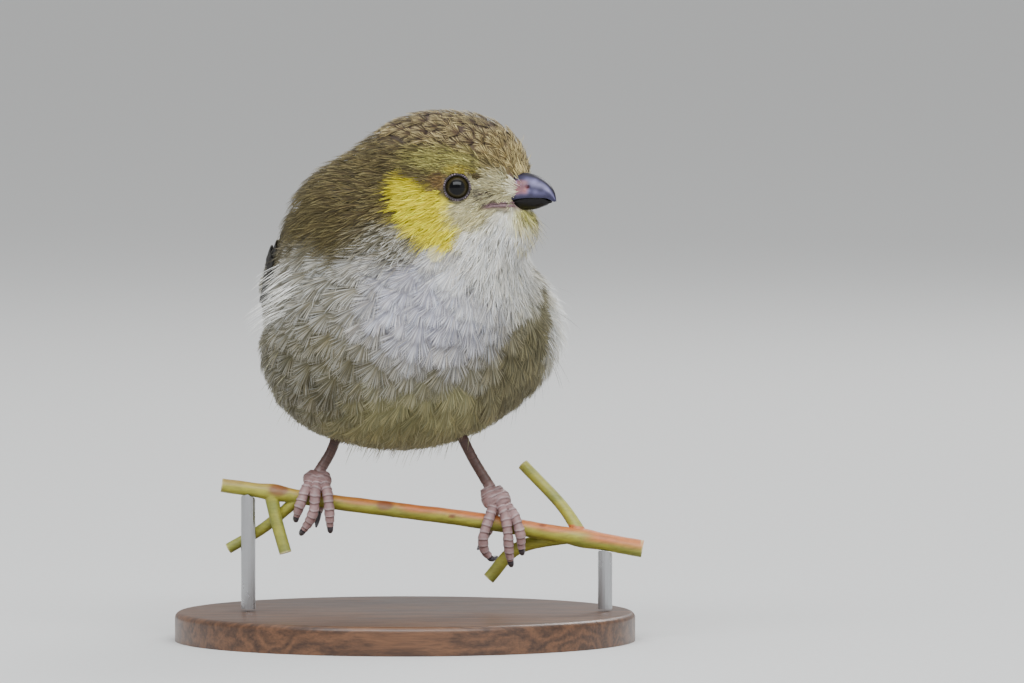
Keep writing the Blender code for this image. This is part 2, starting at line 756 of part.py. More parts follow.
def wing_vane(side, root, tip, width, lift):
    """One feather from root to tip, both (forward, angle). Lift is its height at root and tip."""
    rings = []
    for share, part in zip(VANE_SHARES, WING_VANE_WIDTHS):
        forward, angle = np.add(root, np.subtract(tip, root) * share)
        half = arc_degrees(side, forward, angle, width * part / 2)
        angles = angle + half * np.array((-1, 0, 1, 1, 0, -1))
        heights = lift[0] + (lift[1] - lift[0]) * share + np.array(WING_VANE_SECTION)
        rings.append(wing_points(side, forward, angles, heights))
    return loft(rings, "vane")


def wing_core(side):
    """The smooth body of the folded wing, from the shoulder to where only feathers go on."""
    edge = np.array(WING_CORE_EDGE)
    forwards = np.linspace(edge[0, 0], edge[-1, 0], len(WING_CORE_SPANS))
    lows = np.interp(-forwards, -edge[:, 0], edge[:, 1])
    highs = np.interp(-forwards, -edge[:, 0], edge[:, 2])
    spread = np.linspace(-1, 1, WING_CORE_ACROSS)
    arch = np.sqrt(np.maximum(0, 1 - spread**2))
    rings = []
    stations = zip(forwards, lows, highs, WING_CORE_SPANS, WING_CORE_THICKNESS)
    for forward, low, high, span, thickness in stations:
        angles = (low + high) / 2 + (high - low) / 2 * span * spread
        bulge = WING_LIFT + WING_CORE_LEAST + (thickness - WING_CORE_LEAST) * arch
        inner = wing_points(side, forward, angles, WING_LIFT)
        outer = wing_points(side, forward, angles, bulge)
        rings.append(np.vstack([inner, outer[::-1]]))
    return loft(rings, "wing_core")


def wing_vanes(side):
    vanes = []
    for _, count, first_root, first_tip, last_root, last_tip, width, lift in WING_TIERS:
        for step in np.linspace(0, 1, count):
            root = np.add(first_root, np.subtract(last_root, first_root) * step)
            tip = np.add(first_tip, np.subtract(last_tip, first_tip) * step)
            vanes.append(wing_vane(side, root, tip, width, lift))
    return vanes


def wing(side, word):
    return boolean(wing_core(side), wing_vanes(side), "UNION", "wing_" + word, "MANIFOLD")


def tail_vane(rank, side):
    """One tail feather. Rank 0 is the middle and topmost pair, side is 1 or -1."""
    shift = (0.5 + rank) * TAIL_SPREAD * side
    low = -TAIL_STEP_DOWN * (rank + (0.5 if side < 0 else 0.0))
    high = low + VANE_THICKNESS
    length = TAIL_LENGTH - TAIL_STEP_SHORT * rank
    rings = []
    for share, part in zip(VANE_SHARES, TAIL_VANE_WIDTHS):
        back = TAIL_VANE_START - (length + TAIL_VANE_START) * share
        across = shift * (0.55 + 0.45 * share)
        half = TAIL_VANE_WIDTH * part / 2
        ring = [
            (back, across - half, low),
            (back, across, low + VANE_CROWN),
            (back, across + half, low),
            (back, across + half, high),
            (back, across, high + VANE_CROWN),
            (back, across - half, high),
        ]
        rings.append([TAIL.to_world(place) for place in ring])
    return loft(rings, "tail_vane")


def tail():
    vanes = [tail_vane(rank, side) for rank in range(TAIL_FEATHER_PAIRS) for side in (1, -1)]
    joined = boolean(body_part("tail"), vanes, "UNION", "tail_whole")
    shape = bmesh.new()
    shape.from_mesh(joined)
    cut_away(shape, TAIL.to_world((-GAP / 2, 0, 0)), TAIL.forward, side=-1)
    return mesh_from_bmesh(shape, "tail")


# The display stand


def stand_base():
    shape = bmesh.new()
    bmesh.ops.create_cone(
        shape,
        cap_ends=True,
        segments=48,
        radius1=BASE_RADIUS * MM,
        radius2=BASE_RADIUS * MM,
        depth=BASE_THICKNESS * MM,
    )
    bmesh.ops.translate(shape, verts=shape.verts[:], vec=Vector((0, 0, BASE_THICKNESS / 2)) * MM)
    middle = BASE_THICKNESS / 2 * MM
    bmesh.ops.bevel(
        shape,
        geom=[edge for edge in shape.edges if all(vert.co.z > middle for vert in edge.verts)],
        offset=BASE_BEVEL * MM,
        affect="EDGES",
        segments=2,
        profile=0.5,
        material=-1,
    )
    return mesh_from_bmesh(shape, "stand_base")


def stand_rod(x):
    """A round rod from the base to the twig, its top hollowed to cradle the twig."""
    foot_height = BASE_THICKNESS + GAP
    top = twig_centre(x)[2] - ROD_TOP_BELOW
    shape = bmesh.new()
    bmesh.ops.create_cone(
        shape,
        cap_ends=True,
        segments=16,
        radius1=ROD_RADIUS * MM,
        radius2=ROD_RADIUS * MM,
        depth=(top - foot_height) * MM,
    )
    middle = Vector((x, 0, (top + foot_height) / 2)) * MM
    bmesh.ops.translate(shape, verts=shape.verts[:], vec=middle)
    return boolean(mesh_from_bmesh(shape, "rod"), [twig_stem(GAP)], "DIFFERENCE", "stand_rod")


# The whole model


def add_head(bird, olive, horn, dark):
    cutters = [upper_bill(GAP), lower_bill(GAP)]
    cutters += [ball(eye_frame(side)[0], EYE_RADIUS + GAP, "socket") for side in (1, -1)]
    cutters += [mouth_groove(side) for side in (1, -1)]
    head = boolean(body_part("head"), cutters, "DIFFERENCE", "head_cut")
    head = boolean(head, [lid_ring(1), lid_ring(-1)], "UNION", "head")
    object_from(head, "head", bird, olive)
    for side, word in ((1, "right"), (-1, "left")):
        object_from(ball(eye_frame(side)[0], EYE_RADIUS, "eye"), "eye_" + word, bird, dark)
    beak = boolean(upper_bill(), [nostril(1), nostril(-1)], "DIFFERENCE", "bill_upper")
    object_from(beak, "bill_upper", bird, horn)
    object_from(lower_bill(), "bill_lower", bird, horn)


def build():
    clear_scene()
    bird = make_collection("forty_spotted_pardalote")
    materials = {name: make_material(name) for name in COLOURS}
    add_head(bird, materials["olive"], materials["bill"], materials["eye"])
    object_from(body_part("neck"), "neck", bird, materials["olive"])
    torso = boolean(body_part("torso"), [leg_pocket(side) for side in FEET], "DIFFERENCE", "torso")
    object_from(torso, "torso", bird, materials["pale"])
    object_from(tail(), "tail", bird, materials["wing"])
    for side, word in ((1, "right"), (-1, "left")):
        object_from(wing(side, word), "wing_" + word, bird, materials["wing"])
        object_from(leg(word), "leg_" + word, bird, materials["leg"])
        object_from(foot(word), "foot_" + word, bird, materials["leg"])
        for toe in FEET[word]["claws"]:
            object_from(claw(word, toe), f"claw_{word}_{toe}", bird, materials["claw"])
    object_from(twig(), "perch_twig", bird, materials["twig"])
    object_from(stand_base(), "stand_base", bird, materials["wood"])
    for x, word in zip(ROD_X, ("right", "left")):
        object_from(stand_rod(x), "stand_rod_" + word, bird, materials["steel"])


build()
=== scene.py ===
"""Looks of a still, life-size forty-spotted pardalote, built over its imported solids.

The add-on's panel lists one button for each piece or group of like pieces. Run as a script, it makes
them all in order. Tables are in millimetres in the model's own frame: +Z is up, the floor is at 0,
the twig runs along X, and the bird looks towards -Y with its head turned to +X.
"""

import json
import math

import bmesh
import bpy
import numpy as np
from bpy.props import FloatProperty, FloatVectorProperty, IntProperty, PointerProperty
from mathutils import Matrix, Vector
from mathutils.kdtree import KDTree

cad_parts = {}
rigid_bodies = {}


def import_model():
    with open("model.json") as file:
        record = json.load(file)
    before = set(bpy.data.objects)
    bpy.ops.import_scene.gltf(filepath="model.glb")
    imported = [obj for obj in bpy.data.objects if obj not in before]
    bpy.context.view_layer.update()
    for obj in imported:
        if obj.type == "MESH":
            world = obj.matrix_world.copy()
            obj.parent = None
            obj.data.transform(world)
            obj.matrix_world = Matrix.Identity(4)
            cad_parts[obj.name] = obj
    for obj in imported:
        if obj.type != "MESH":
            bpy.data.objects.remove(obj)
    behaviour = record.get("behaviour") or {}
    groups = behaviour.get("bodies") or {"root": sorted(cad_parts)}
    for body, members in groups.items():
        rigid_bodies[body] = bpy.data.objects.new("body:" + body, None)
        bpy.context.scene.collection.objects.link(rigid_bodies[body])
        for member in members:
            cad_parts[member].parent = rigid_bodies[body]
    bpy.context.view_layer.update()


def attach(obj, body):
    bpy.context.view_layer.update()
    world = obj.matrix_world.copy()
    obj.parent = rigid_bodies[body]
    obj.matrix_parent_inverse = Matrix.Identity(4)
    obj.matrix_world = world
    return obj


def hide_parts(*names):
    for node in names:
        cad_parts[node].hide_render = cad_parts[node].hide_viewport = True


bl_info = {
    "name": "Forty-spotted Pardalote Display Model",
    "version": (1, 0, 0),
    "blender": (4, 5, 0),
    "location": "3D Viewport > Sidebar > Pardalote",
    "description": "Feathers, eyes, bill, feet, twig and stand of a life-size pardalote model",
    "category": "Object",
}

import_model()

MM = 0.001
BODY_NAME = "root"
SEED = 40
# What one step makes and later ones use again
ROOM = {}

# Places and directions, as in the solids. Yaw is in degrees: 0 looks along -Y, positive towards +X.
BODY_YAW = 17.0
HEAD_YAW = 60.0
BODY_CENTRE = (0.3, 4.0, 43.0)
HEAD_CENTRE = (6.1, -8.6, 65.0)
TAIL_YAW = 9.0
TAIL_DROP_ANGLE = 9.0
TAIL_ROOT = (-30.5, 0.0, -4.0)
PERCH_HEIGHT = 18.0
EYE_RADIUS = 2.05
EYE_PLACE = (5.05, 6.2, -1.6)
EYE_AIM = (0.47, 0.87, 0.06)
BILL_ROOT = 9.2
BILL_TIP = 17.1
BILL_HALF_WIDTH = 2.2


def from_screen(red, green, blue):
    """A colour picked on a screen, 0 to 255, as the linear values that shaders take."""
    shares = np.array([red, green, blue]) / 255
    return tuple(np.where(shares <= 0.04045, shares / 12.92, ((shares + 0.055) / 1.055) ** 2.4))


def opaque(red, green, blue):
    """A colour picked on a screen, with the alpha that colour sockets take."""
    return (*from_screen(red, green, blue), 1)


def tones(*colours):
    """Colours picked on a screen, as arrays of linear values."""
    return [np.array(from_screen(*colour)) for colour in colours]


# Frames and the fluffed outline of the body


class Axes:
    """A place with forward, right and up axes. Local points are (forward, right, up)."""

    def __init__(self, origin, yaw, pitch=0.0):
        turn, rise = math.radians(yaw), math.radians(pitch)
        flat = np.array([math.sin(turn), -math.cos(turn), 0.0])
        up = np.array([0.0, 0.0, 1.0])
        self.forward = flat * math.cos(rise) + up * math.sin(rise)
        self.right = np.cross(flat, up)
        self.up = np.cross(self.right, self.forward)
        self.origin = np.array(origin, float)
        self.axes = np.array([self.forward, self.right, self.up])

    def to_world(self, local):
        return self.origin + np.asarray(local, float) @ self.axes

    def to_local(self, points):
        return (np.asarray(points, float) - self.origin) @ self.axes.T

    def direction(self, local):
        return np.asarray(local, float) @ self.axes


BODY = Axes(BODY_CENTRE, BODY_YAW)
HEAD = Axes(HEAD_CENTRE, HEAD_YAW)
TAIL = Axes(BODY.to_world(TAIL_ROOT), TAIL_YAW, TAIL_DROP_ANGLE)

# Each mass of the body: its axes, centre and half sizes (forward, right, up), its pitch in degrees,
# and how softly it joins the ones before it.
MASSES = (
    ("back", BODY, (-5.0, 0.6, 0.5), (21.0, 15.2, 14.5), 14.0, 0.0),
    ("breast", BODY, (2.8, -0.2, 0.2), (17.8, 20.7, 14.0), 10.0, 5.0),
    ("belly", BODY, (0.8, 1.9, -5.2), (15.6, 17.9, 11.4), 4.0, 4.0),
    ("mantle", BODY, (-1.0, 1.6, 7.5), (15.0, 15.6, 11.0), 20.0, 6.0),
    ("rump", BODY, (-20.0, 0.0, -2.5), (13.0, 8.5, 6.5), 12.0, 7.0),
    ("tail_coverts", BODY, (-29.0, 0.0, -4.2), (11.0, 5.4, 3.4), 10.0, 3.0),
    ("hindneck", BODY, (3.0, 5.0, 14.4), (12.0, 13.4, 10.8), 25.0, 6.0),
    ("throat", HEAD, (1.8, 0.0, -9.5), (9.0, 9.2, 10.0), 0.0, 7.5),
    ("cranium", HEAD, (-2.2, 0.0, 0.4), (12.4, 8.9, 8.7), 6.0, 4.0),
    ("brow", HEAD, (4.8, 0.0, 1.2), (7.0, 6.8, 6.4), -20.0, 2.5),
    ("face", HEAD, (6.8, 0.0, -2.6), (5.2, 5.2, 4.4), -8.0, 2.5),
    ("chin", HEAD, (8.4, 0.0, -7.4), (5.4, 4.6, 4.4), 0.0, 3.0),
)
LOW_HUB = (0.5, 1.5, 44.0)
HIGH_HUB = (5.5, -8.0, 63.0)
TAILWARD_SLIDE = 17.0


def turned_local(points, axes, centre, pitch):
    """Points in the axes of a form that is set at a centre and pitched by some degrees."""
    rise = math.radians(pitch)
    local = axes.to_local(points) - np.array(centre)
    return np.stack(
        [
            local[:, 0] * math.cos(rise) + local[:, 2] * math.sin(rise),
            local[:, 1],
            local[:, 2] * math.cos(rise) - local[:, 0] * math.sin(rise),
        ],
        axis=1,
    )


def body_distance(points):
    """About the distance of points from the fluffed outline, negative inside it."""
    total = None
    for _, axes, centre, half_sizes, pitch, blend in MASSES:
        turned = turned_local(points, axes, centre, pitch)
        sizes = np.array(half_sizes)
        reach = np.linalg.norm(turned / sizes, axis=1)
        slope = np.maximum(np.linalg.norm(turned / sizes**2, axis=1), 1e-9)
        new = reach * (reach - 1) / slope
        if total is None:
            total = new
            continue
        share = np.clip(0.5 + 0.5 * (new - total) / blend, 0, 1)
        total = new * (1 - share) + total * share - blend * share * (1 - share)
    return total


def unit(vectors):
    return vectors / np.maximum(np.linalg.norm(vectors, axis=-1, keepdims=True), 1e-9)


def outline_normal(points, step=0.1):
    """The outward direction of the outline, from four samples round each point."""
    total = np.zeros_like(points)
    for corner in ((1, -1, -1), (-1, -1, 1), (-1, 1, -1), (1, 1, 1)):
        offset = np.array(corner, float)
        total += offset * body_distance(points + offset * step)[:, None]
    return unit(total)


# The longest way that a point moves in one round of settling
SETTLE_STEP = 3.0


def settle(points, depth, rounds=2):
    """Moves points along the outline's normal until they lie at a depth below it."""
    for _ in range(rounds):
        away = np.clip(body_distance(points) + depth, -SETTLE_STEP, SETTLE_STEP)
        points = points - outline_normal(points) * away[:, None]
    return points


def outline_reach(starts, directions, reach=70.0, steps=28):
    """How far the outline is from places inside it, found by halving the way."""
    inner = np.zeros(len(directions))
    outer = np.full(len(directions), reach)
    for _ in range(steps):
        middle = (inner + outer) / 2
        inside = body_distance(starts + directions * middle[:, None]) < 0
        inner = np.where(inside, middle, inner)
        outer = np.where(inside, outer, middle)
    return inner


def outline_points(directions):
    """Points of the outline in the given directions from the line between the two hubs."""
    low, high = np.array(LOW_HUB), np.array(HIGH_HUB)
    spine = unit(high - low)
    share = (1 + directions @ spine) / 2
    back = np.clip(directions @ -BODY.forward, 0, 1) ** 2
    starts = low + (high - low) * share[:, None] - BODY.forward * TAILWARD_SLIDE * back[:, None]
    return starts + directions * outline_reach(starts, directions)[:, None]


# Plumage: colours and feather sizes over the body

SCREEN_COLOURS = {
    "olive": (86, 76, 48),
    "olive_dark": (48, 41, 28),
    "olive_pale": (146, 134, 88),
    "brown": (70, 57, 42),
    "crown_brown": (52, 39, 38),
    "buff": (216, 196, 136),
    "crown_vane": (86, 69, 48),
    "brow_pale": (196, 190, 104),
    "ochre": (144, 123, 74),
    "brow_green": (142, 135, 76),
    "gold": (152, 137, 46),
    "yellow": (244, 228, 36),
    "yellow_deep": (150, 126, 26),
    "amber": (126, 99, 58),
    "cream": (214, 208, 178),
    "sand": (198, 188, 140),
    "grey_white": (230, 228, 220),
    "lilac_grey": (172, 170, 182),
    "lilac_dark": (128, 124, 132),
    # Stone and moss, the main tones of the underside and flanks, are darker than those feathers' own grey
    # and olive: partly their colour, partly painted shade of the underside, which light from above leaves
    # darker
    "stone": (118, 113, 97),
    "moss": (98, 92, 68),
    "moss_dark": (70, 65, 46),
    "moss_pale": (152, 148, 116),
    "belly_yellow": (138, 134, 94),
    "rump_yellow": (168, 158, 84),
    "vent_yellow": (204, 198, 128),
    "down_grey": (82, 78, 74),
    "down_pale": (132, 130, 124),
    "black": (24, 23, 24),
    "white": (246, 246, 242),
}
COLOURS = dict(zip(SCREEN_COLOURS, tones(*SCREEN_COLOURS.values())))

# What each patch sets: colour of the vane, of its edge, of its heart and of the down at its root, how
# strongly edge and heart show, and the feather's length, width, spacing, the coat's depth in
# millimetres and how far the outer barbs spread, 1 for a wide fan.
FEATHER_FIELDS = ("vane", "edge", "heart", "down")
BASE_PATCH = ("olive", "olive_pale", "olive_dark", "down_grey", 0.5, 0.5, 6.0, 4.6, 1.7, 1.7, 0.8)
# Name, axes, centre, half sizes and pitch of the patch, softness of its border, then what it sets.
# Patches on the head lie alike on both sides. Later patches lie over earlier ones.
PATCHES = (
    ("rump", BODY, (-22, 0, 4), (12, 12, 9), 0, 0.5,
     ("rump_yellow", "moss_pale", "olive", "down_grey", 0.5, 0.2, 6.5, 5.0, 1.8, 1.6, 0.8)),
    ("under", BODY, (7, 0, -1.9), (31, 27, 14.9), 0, 0.14,
     ("stone", "grey_white", "moss", "stone", 0.30, 0.12, 5.0, 6.2, 2.0, 1.3, 1.0)),
    ("vent", BODY, (-20, 0, -11), (18, 14, 9), 0, 0.4,
     ("vent_yellow", "grey_white", "moss", "down_pale", 0.5, 0.0, 6.2, 4.6, 1.9, 1.6, 0.8)),
    ("flank_right", BODY, (4, 17, -8), (14, 12, 13), 0, 0.7,
     ("moss", "grey_white", "moss_dark", "moss", 0.24, 0.12, 5.0, 6.2, 2.0, 1.3, 1.0)),
    ("belly_base", BODY, (6, -1, -14), (17, 15, 8), 0, 0.8,
     ("belly_yellow", "sand", "moss", "belly_yellow", 0.26, 0.1, 4.8, 5.0, 1.7, 1.3, 0.9)),
    ("breast", BODY, (16.5, 1.5, 4.4), (13, 10.5, 8.2), 0, 0.9,
     ("lilac_grey", "white", "lilac_dark", "lilac_grey", 0.38, 0.15, 4.4, 5.2, 1.75, 1.3, 1.0)),
    ("flank_left", BODY, (11, -16, -5.0), (13, 11, 12.5), 0, 0.6,
     ("moss", "sand", "moss_dark", "moss", 0.26, 0.15, 4.8, 5.6, 1.85, 1.3, 1.0)),
    ("shoulder_cream", BODY, (8, 17, 5.5), (10, 9, 5.5), 0, 0.8,
     ("stone", "white", "moss", "stone", 0.36, 0.15, 4.8, 5.8, 1.85, 1.3, 1.0)),
    ("side_fluff", BODY, (8, -20.5, 2.5), (5.5, 4.5, 8.5), 0, 1.0,
     ("grey_white", "white", "lilac_dark", "stone", 0.75, 0.1, 5.2, 5.0, 1.8, 1.7, 0.9)),
    ("nape", HEAD, (-3, 0, 0), (16, 16, 12.4), 0, 0.2,
     ("olive", "olive_pale", "brown", "down_grey", 0.6, 0.6, 3.8, 1.8, 0.9, 1.2, 0.5)),
    ("collar", BODY, (16, 6, 12), (6, 6, 3.4), 0, 0.9,
     ("stone", "grey_white", "moss", "moss", 0.9, 0.3, 3.4, 2.2, 0.95, 1.4, 0.6)),
    ("throat", HEAD, (8.5, 0, -10.8), (9.5, 10, 8.2), -6, 0.6,
     ("grey_white", "white", "lilac_dark", "down_pale", 0.8, 0.3, 3.6, 2.0, 0.9, 1.4, 0.45)),
    ("crown", HEAD, (1, 0, 6.4), (12, 9, 5.2), -8, 0.45,
     ("crown_vane", "buff", "crown_brown", "crown_brown", 0.80, 0.6, 2.6, 2.7, 1.35, 0.65, 1.0)),
    ("forehead", HEAD, (8.5, 0, 2.6), (4.6, 6, 4.2), -20, 0.9,
     ("ochre", "buff", "crown_brown", "crown_brown", 0.85, 0.6, 2.3, 2.4, 1.15, 0.55, 1.0)),
    ("brow", HEAD, (3.2, 6.5, 2.2), (5.6, 4.0, 1.9), -6, 0.7,
     ("brow_green", "brow_pale", "olive", "olive", 0.85, 0.3, 2.2, 0.9, 0.55, 0.7, 0.5)),
    ("brow_gold", HEAD, (5.9, 6.5, 0.9), (2.0, 4.0, 0.65), -4, 0.8,
     ("gold", "brow_pale", "amber", "amber", 0.6, 0.4, 1.5, 0.7, 0.42, 0.5, 0.5)),
    ("cheek", HEAD, (0.9, 8.5, -5.2), (6.8, 6.0, 3.5), -40, 0.25,
     ("yellow", "yellow", "yellow_deep", "yellow_deep", 0.3, 0.55, 2.8, 1.1, 0.55, 0.95, 0.4)),
    ("lores", HEAD, (9.2, 4.5, -2.2), (4.0, 4.0, 3.2), 0, 0.4,
     ("sand", "cream", "moss", "stone", 0.6, 0.6, 1.8, 0.8, 0.45, 0.5, 0.5)),
    ("ear_spot", HEAD, (3.0, 7.4, -0.7), (0.9, 3.0, 1.2), 0, 0.9,
     ("amber", "olive_pale", "crown_brown", "down_grey", 0.4, 0.6, 1.5, 0.7, 0.4, 0.5, 0.5)),
    ("loral_spot", HEAD, (7.9, 5.4, -2.4), (0.6, 3.0, 0.8), 0, 0.9,
     ("stone", "sand", "crown_brown", "down_grey", 0.5, 0.6, 1.4, 0.6, 0.4, 0.45, 0.5)),
    ("loral_fleck", HEAD, (7.9, 5.4, 0.0), (0.7, 3.0, 0.45), 0, 0.9,
     ("brown", "gold", "crown_brown", "down_grey", 0.4, 0.7, 1.4, 0.6, 0.4, 0.45, 0.5)),
    ("moustache", HEAD, (6.8, 6.0, -5.6), (3.0, 4.0, 2.0), -20, 0.8,
     ("sand", "cream", "belly_yellow", "sand", 0.7, 0.4, 2.0, 0.9, 0.5, 0.7, 0.45)),
    ("chin", HEAD, (12.0, 0, -5.9), (3.0, 3.2, 1.8), 0, 0.7,
     ("brow_pale", "sand", "brow_green", "moss_pale", 0.5, 0.5, 1.9, 0.9, 0.5, 0.7, 0.45)),
)
# Columns of a patch's row: three for each colour, then one for each number
TONES_WIDTH = 3 * len(FEATHER_FIELDS)
EDGE_AMOUNT, HEART_AMOUNT, LENGTH, WIDTH, SPACING, DEPTH, SPREAD = range(TONES_WIDTH, TONES_WIDTH + 7)
VANE, DOWN = slice(0, 3), slice(9, 12)
# Towards eyes and bill the coat thins to this depth and its feathers to a share of their size, which
# the gain then makes up
FACE_CLEARANCE = 0.22
FACE_SCALE = 0.55
FACE_GAIN = 0.45
FACE_REACH = 4.0
# How much deeper the skin lies under the bill and the lids
BILL_HOLLOW = 0.6
EYE_HOLLOW = 1.0
RAGGED_BORDER = 0.06


def patch_row(values):
    colours = [COLOURS[name] for name in values[: len(FEATHER_FIELDS)]]
    return np.concatenate([*colours, values[len(FEATHER_FIELDS) :]])


def smooth_share(value, low, high):
    """0 below the low value, 1 above the high one, and smooth between."""
    share = np.clip((value - low) / (high - low), 0, 1)
    return share * share * (3 - 2 * share)


def bump_share(value, middle, spread):
    """1 at a middle value, falling smoothly to 0 on both sides of it."""
    return np.exp(-(((value - middle) / spread) ** 2))


def mixed(first, second, share):
    """Rows or tints moved from the first to the second by a share for each place."""
    return first + (second - first) * share[..., None]


WAVES = 7
WAVES_PEAK = 3.2


def wander(points, size, seed):
    """A smooth random value from -1 to 1 over space, from a few waves of about a given size."""
    draw = np.random.default_rng(seed)
    total = np.zeros(len(points))
    for _ in range(WAVES):
        wave = unit(draw.normal(size=3)) * 2 * math.pi / (size * draw.uniform(0.7, 1.6))
        total += np.sin(points @ wave + draw.uniform(0, 2 * math.pi))
    return total / WAVES_PEAK


def mirrored_head(points):
    """Points with those left of the head's middle plane moved to its right side."""
    local = HEAD.to_local(points)
    local[:, 1] = np.abs(local[:, 1])
    return HEAD.to_world(local)


def plumage(points):
    """For points on the body, the row of fields and the number of the patch that rules there."""
    rows = np.tile(patch_row(BASE_PATCH), (len(points), 1))
    rule = np.full(len(points), -1)
    folded = mirrored_head(points)
    ragged = wander(points, 3.0, SEED) * RAGGED_BORDER
    for index, (_, axes, centre, half_sizes, pitch, softness, values) in enumerate(PATCHES):
        places = folded if axes is HEAD else points
        turned = turned_local(places, axes, centre, pitch)
        reach = np.linalg.norm(turned / np.array(half_sizes, float), axis=1) + ragged
        mask = smooth_share(-reach, -1 - softness / 2, -1 + softness / 2)
        rows = mixed(rows, patch_row(values), mask)
        rule[mask > 0.5] = index
    clearance = np.minimum(eye_clearance(points), bill_clearance(points))
    near = smooth_share(clearance, 0.0, FACE_REACH)
    rows[:, DEPTH] = FACE_CLEARANCE + (rows[:, DEPTH] - FACE_CLEARANCE) * near
    rows[:, DEPTH] += BILL_HOLLOW * smooth_share(-bill_clearance(points), -1.5, -0.1)
    rows[:, DEPTH] += EYE_HOLLOW * smooth_share(-eye_clearance(points), 0.0, 0.35)
    for column in (LENGTH, WIDTH, SPACING):
        rows[:, column] *= FACE_SCALE + FACE_GAIN * near
    bare = smooth_share(-clearance, -1.8, -0.3)
    rows[:, DOWN] = mixed(rows[:, DOWN], rows[:, VANE], bare)
    return rows, rule


def eye_frame(side):
    """The eye's centre and its outward aim. Side is 1 for the right eye."""
    forward, outward, up = EYE_PLACE
    centre = HEAD.to_world((forward, outward * side, up))
    return centre, unit(HEAD.direction((EYE_AIM[0], EYE_AIM[1] * side, EYE_AIM[2])))


# How far the lids reach from the eye's aim, and how far behind its centre they still count
LID_REACH = 1.92
LID_BEHIND = -1
FAR_AWAY = 99.0


def from_eye(points, side):
    """How far points are along an eye's aim, and their offsets across it."""
    centre, aim = eye_frame(side)
    offset = points - centre
    along = offset @ aim
    return along, offset - along[:, None] * aim


def eye_clearance(points):
    """How far points are from the nearer eye's lids, measured across its aim."""
    nearest = np.full(len(points), FAR_AWAY)
    for side in (1, -1):
        along, offset = from_eye(points, side)
        gap = np.linalg.norm(offset, axis=1) - LID_REACH
        nearest = np.minimum(nearest, np.where(along > LID_BEHIND, gap, FAR_AWAY))
    return nearest


# The block that holds the bare bill: heights of its top and bottom, how far it is narrower than the
# bill, and how far in front of the bill's root it starts
BILL_BLOCK = (0.1, -4.6)
BILL_BLOCK_NARROWER = 0.2
BILL_BLOCK_AHEAD = 1.7


def bill_clearance(points):
    """How far points are from the block that holds the bare bill."""
    local = HEAD.to_local(points)
    across = np.maximum(np.abs(local[:, 1]) - BILL_HALF_WIDTH + BILL_BLOCK_NARROWER, 0)
    height = np.maximum(np.maximum(local[:, 2] - BILL_BLOCK[0], BILL_BLOCK[1] - local[:, 2]), 0)
    behind = np.maximum(BILL_ROOT + BILL_BLOCK_AHEAD - local[:, 0], 0)
    return np.sqrt(across**2 + height**2 + behind**2)


# Feathers lie away from the bill and, on the body, away from a place in the throat
THROAT_SOURCE = (9.0, -13.0, 58.5)
BILL_SOURCE = (10.5, 0.0, -2.6)
TAIL_TARGET = (-10.0, 0.0, 0.0)
TAIL_PULL = 1.35
DROOP = 0.22
# From where on the feathers of the body take over, as distances from a place in the head
HEAD_MIDDLE = (1.0, 0.0, -3.0)
HEAD_TO_BODY = (9.5, 19.0)
EYE_PARTING = 1.5
# How far feathers may lie over the lids, how far they stay from the mouth, and the shortest that grow
OVER_LIDS = 0.12
OFF_MOUTH = 0.25
SHORTEST = 0.45


def lie_direction(points, normals):
    """Which way the feathers lie: away from the bill on the head, then down the body to the tail."""
    bill = HEAD.to_world(BILL_SOURCE)
    throat = np.array(THROAT_SOURCE)
    tail = TAIL.to_world(TAIL_TARGET)
    droop = np.array([0.0, 0.0, -DROOP])
    from_bill = unit(points - bill) + droop
    apart = points - throat
    ahead = tail - points
    near = np.maximum(np.linalg.norm(apart, axis=1), 1.0)[:, None]
    far = np.maximum(np.linalg.norm(ahead, axis=1), 1.0)[:, None]
    on_body = unit(apart / near**2 + TAIL_PULL * ahead / far**2) + droop
    apart_from_head = np.linalg.norm(points - HEAD.to_world(HEAD_MIDDLE), axis=1)
    share = smooth_share(apart_from_head, *HEAD_TO_BODY)[:, None]
    flow = unit(from_bill) * (1 - share) + unit(on_body) * share
    for side in (1, -1):
        along, offset = from_eye(points, side)
        gap = np.linalg.norm(offset, axis=1) - LID_REACH
        beside = smooth_share(-gap, -EYE_PARTING, 0.0) * (along > LID_BEHIND)
        outward = unit(offset)
        inward = np.minimum(np.sum(flow * outward, axis=1), 0) * beside
        flow = flow - inward[:, None] * outward
    flow -= np.sum(flow * normals, axis=1)[:, None] * normals
    return unit(flow)


def open_length(roots, flow, lengths):
    """Feather lengths cut back so that none lies over an eye or the edge of the mouth."""
    reach = np.zeros(len(roots))
    clear = np.ones(len(roots), bool)
    for share in np.linspace(0.2, 1.0, 5):
        places = roots + flow * (lengths * share)[:, None]
        clear &= (eye_clearance(places) > -OVER_LIDS) & (mouth_clearance(places) > OFF_MOUTH)
        reach[clear] = share
    return lengths * reach


# Making meshes and objects


def new_object(name, data):
    made = bpy.data.objects.new(name, data)
    bpy.context.scene.collection.objects.link(made)
    return made


def link_piece(mesh, name, material, replaced=()):
    """Puts a finished mesh in the scene as a piece that rides on the body."""
    piece = new_object(name, mesh)
    mesh.materials.clear()
    mesh.materials.append(material)
    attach(piece, BODY_NAME)
    if replaced:
        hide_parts(*replaced)
    return piece


def mesh_from_bmesh(shape, name, smooth_angle=80.0):
    """A mesh with outward faces, smooth but for edges sharper than an angle in degrees."""
    bmesh.ops.recalc_face_normals(shape, faces=shape.faces[:])
    mesh = bpy.data.meshes.new(name)
    shape.to_mesh(mesh)
    shape.free()
    mesh.shade_smooth()
    mesh.set_sharp_from_angle(angle=math.radians(smooth_angle))
    return mesh


def scaled_vectors(points):
    return [Vector(point) * MM for point in np.asarray(points, float)]


def place_vertices(shape, places):
    for vert, place in zip(shape.verts, scaled_vectors(places)):
        vert.co = place


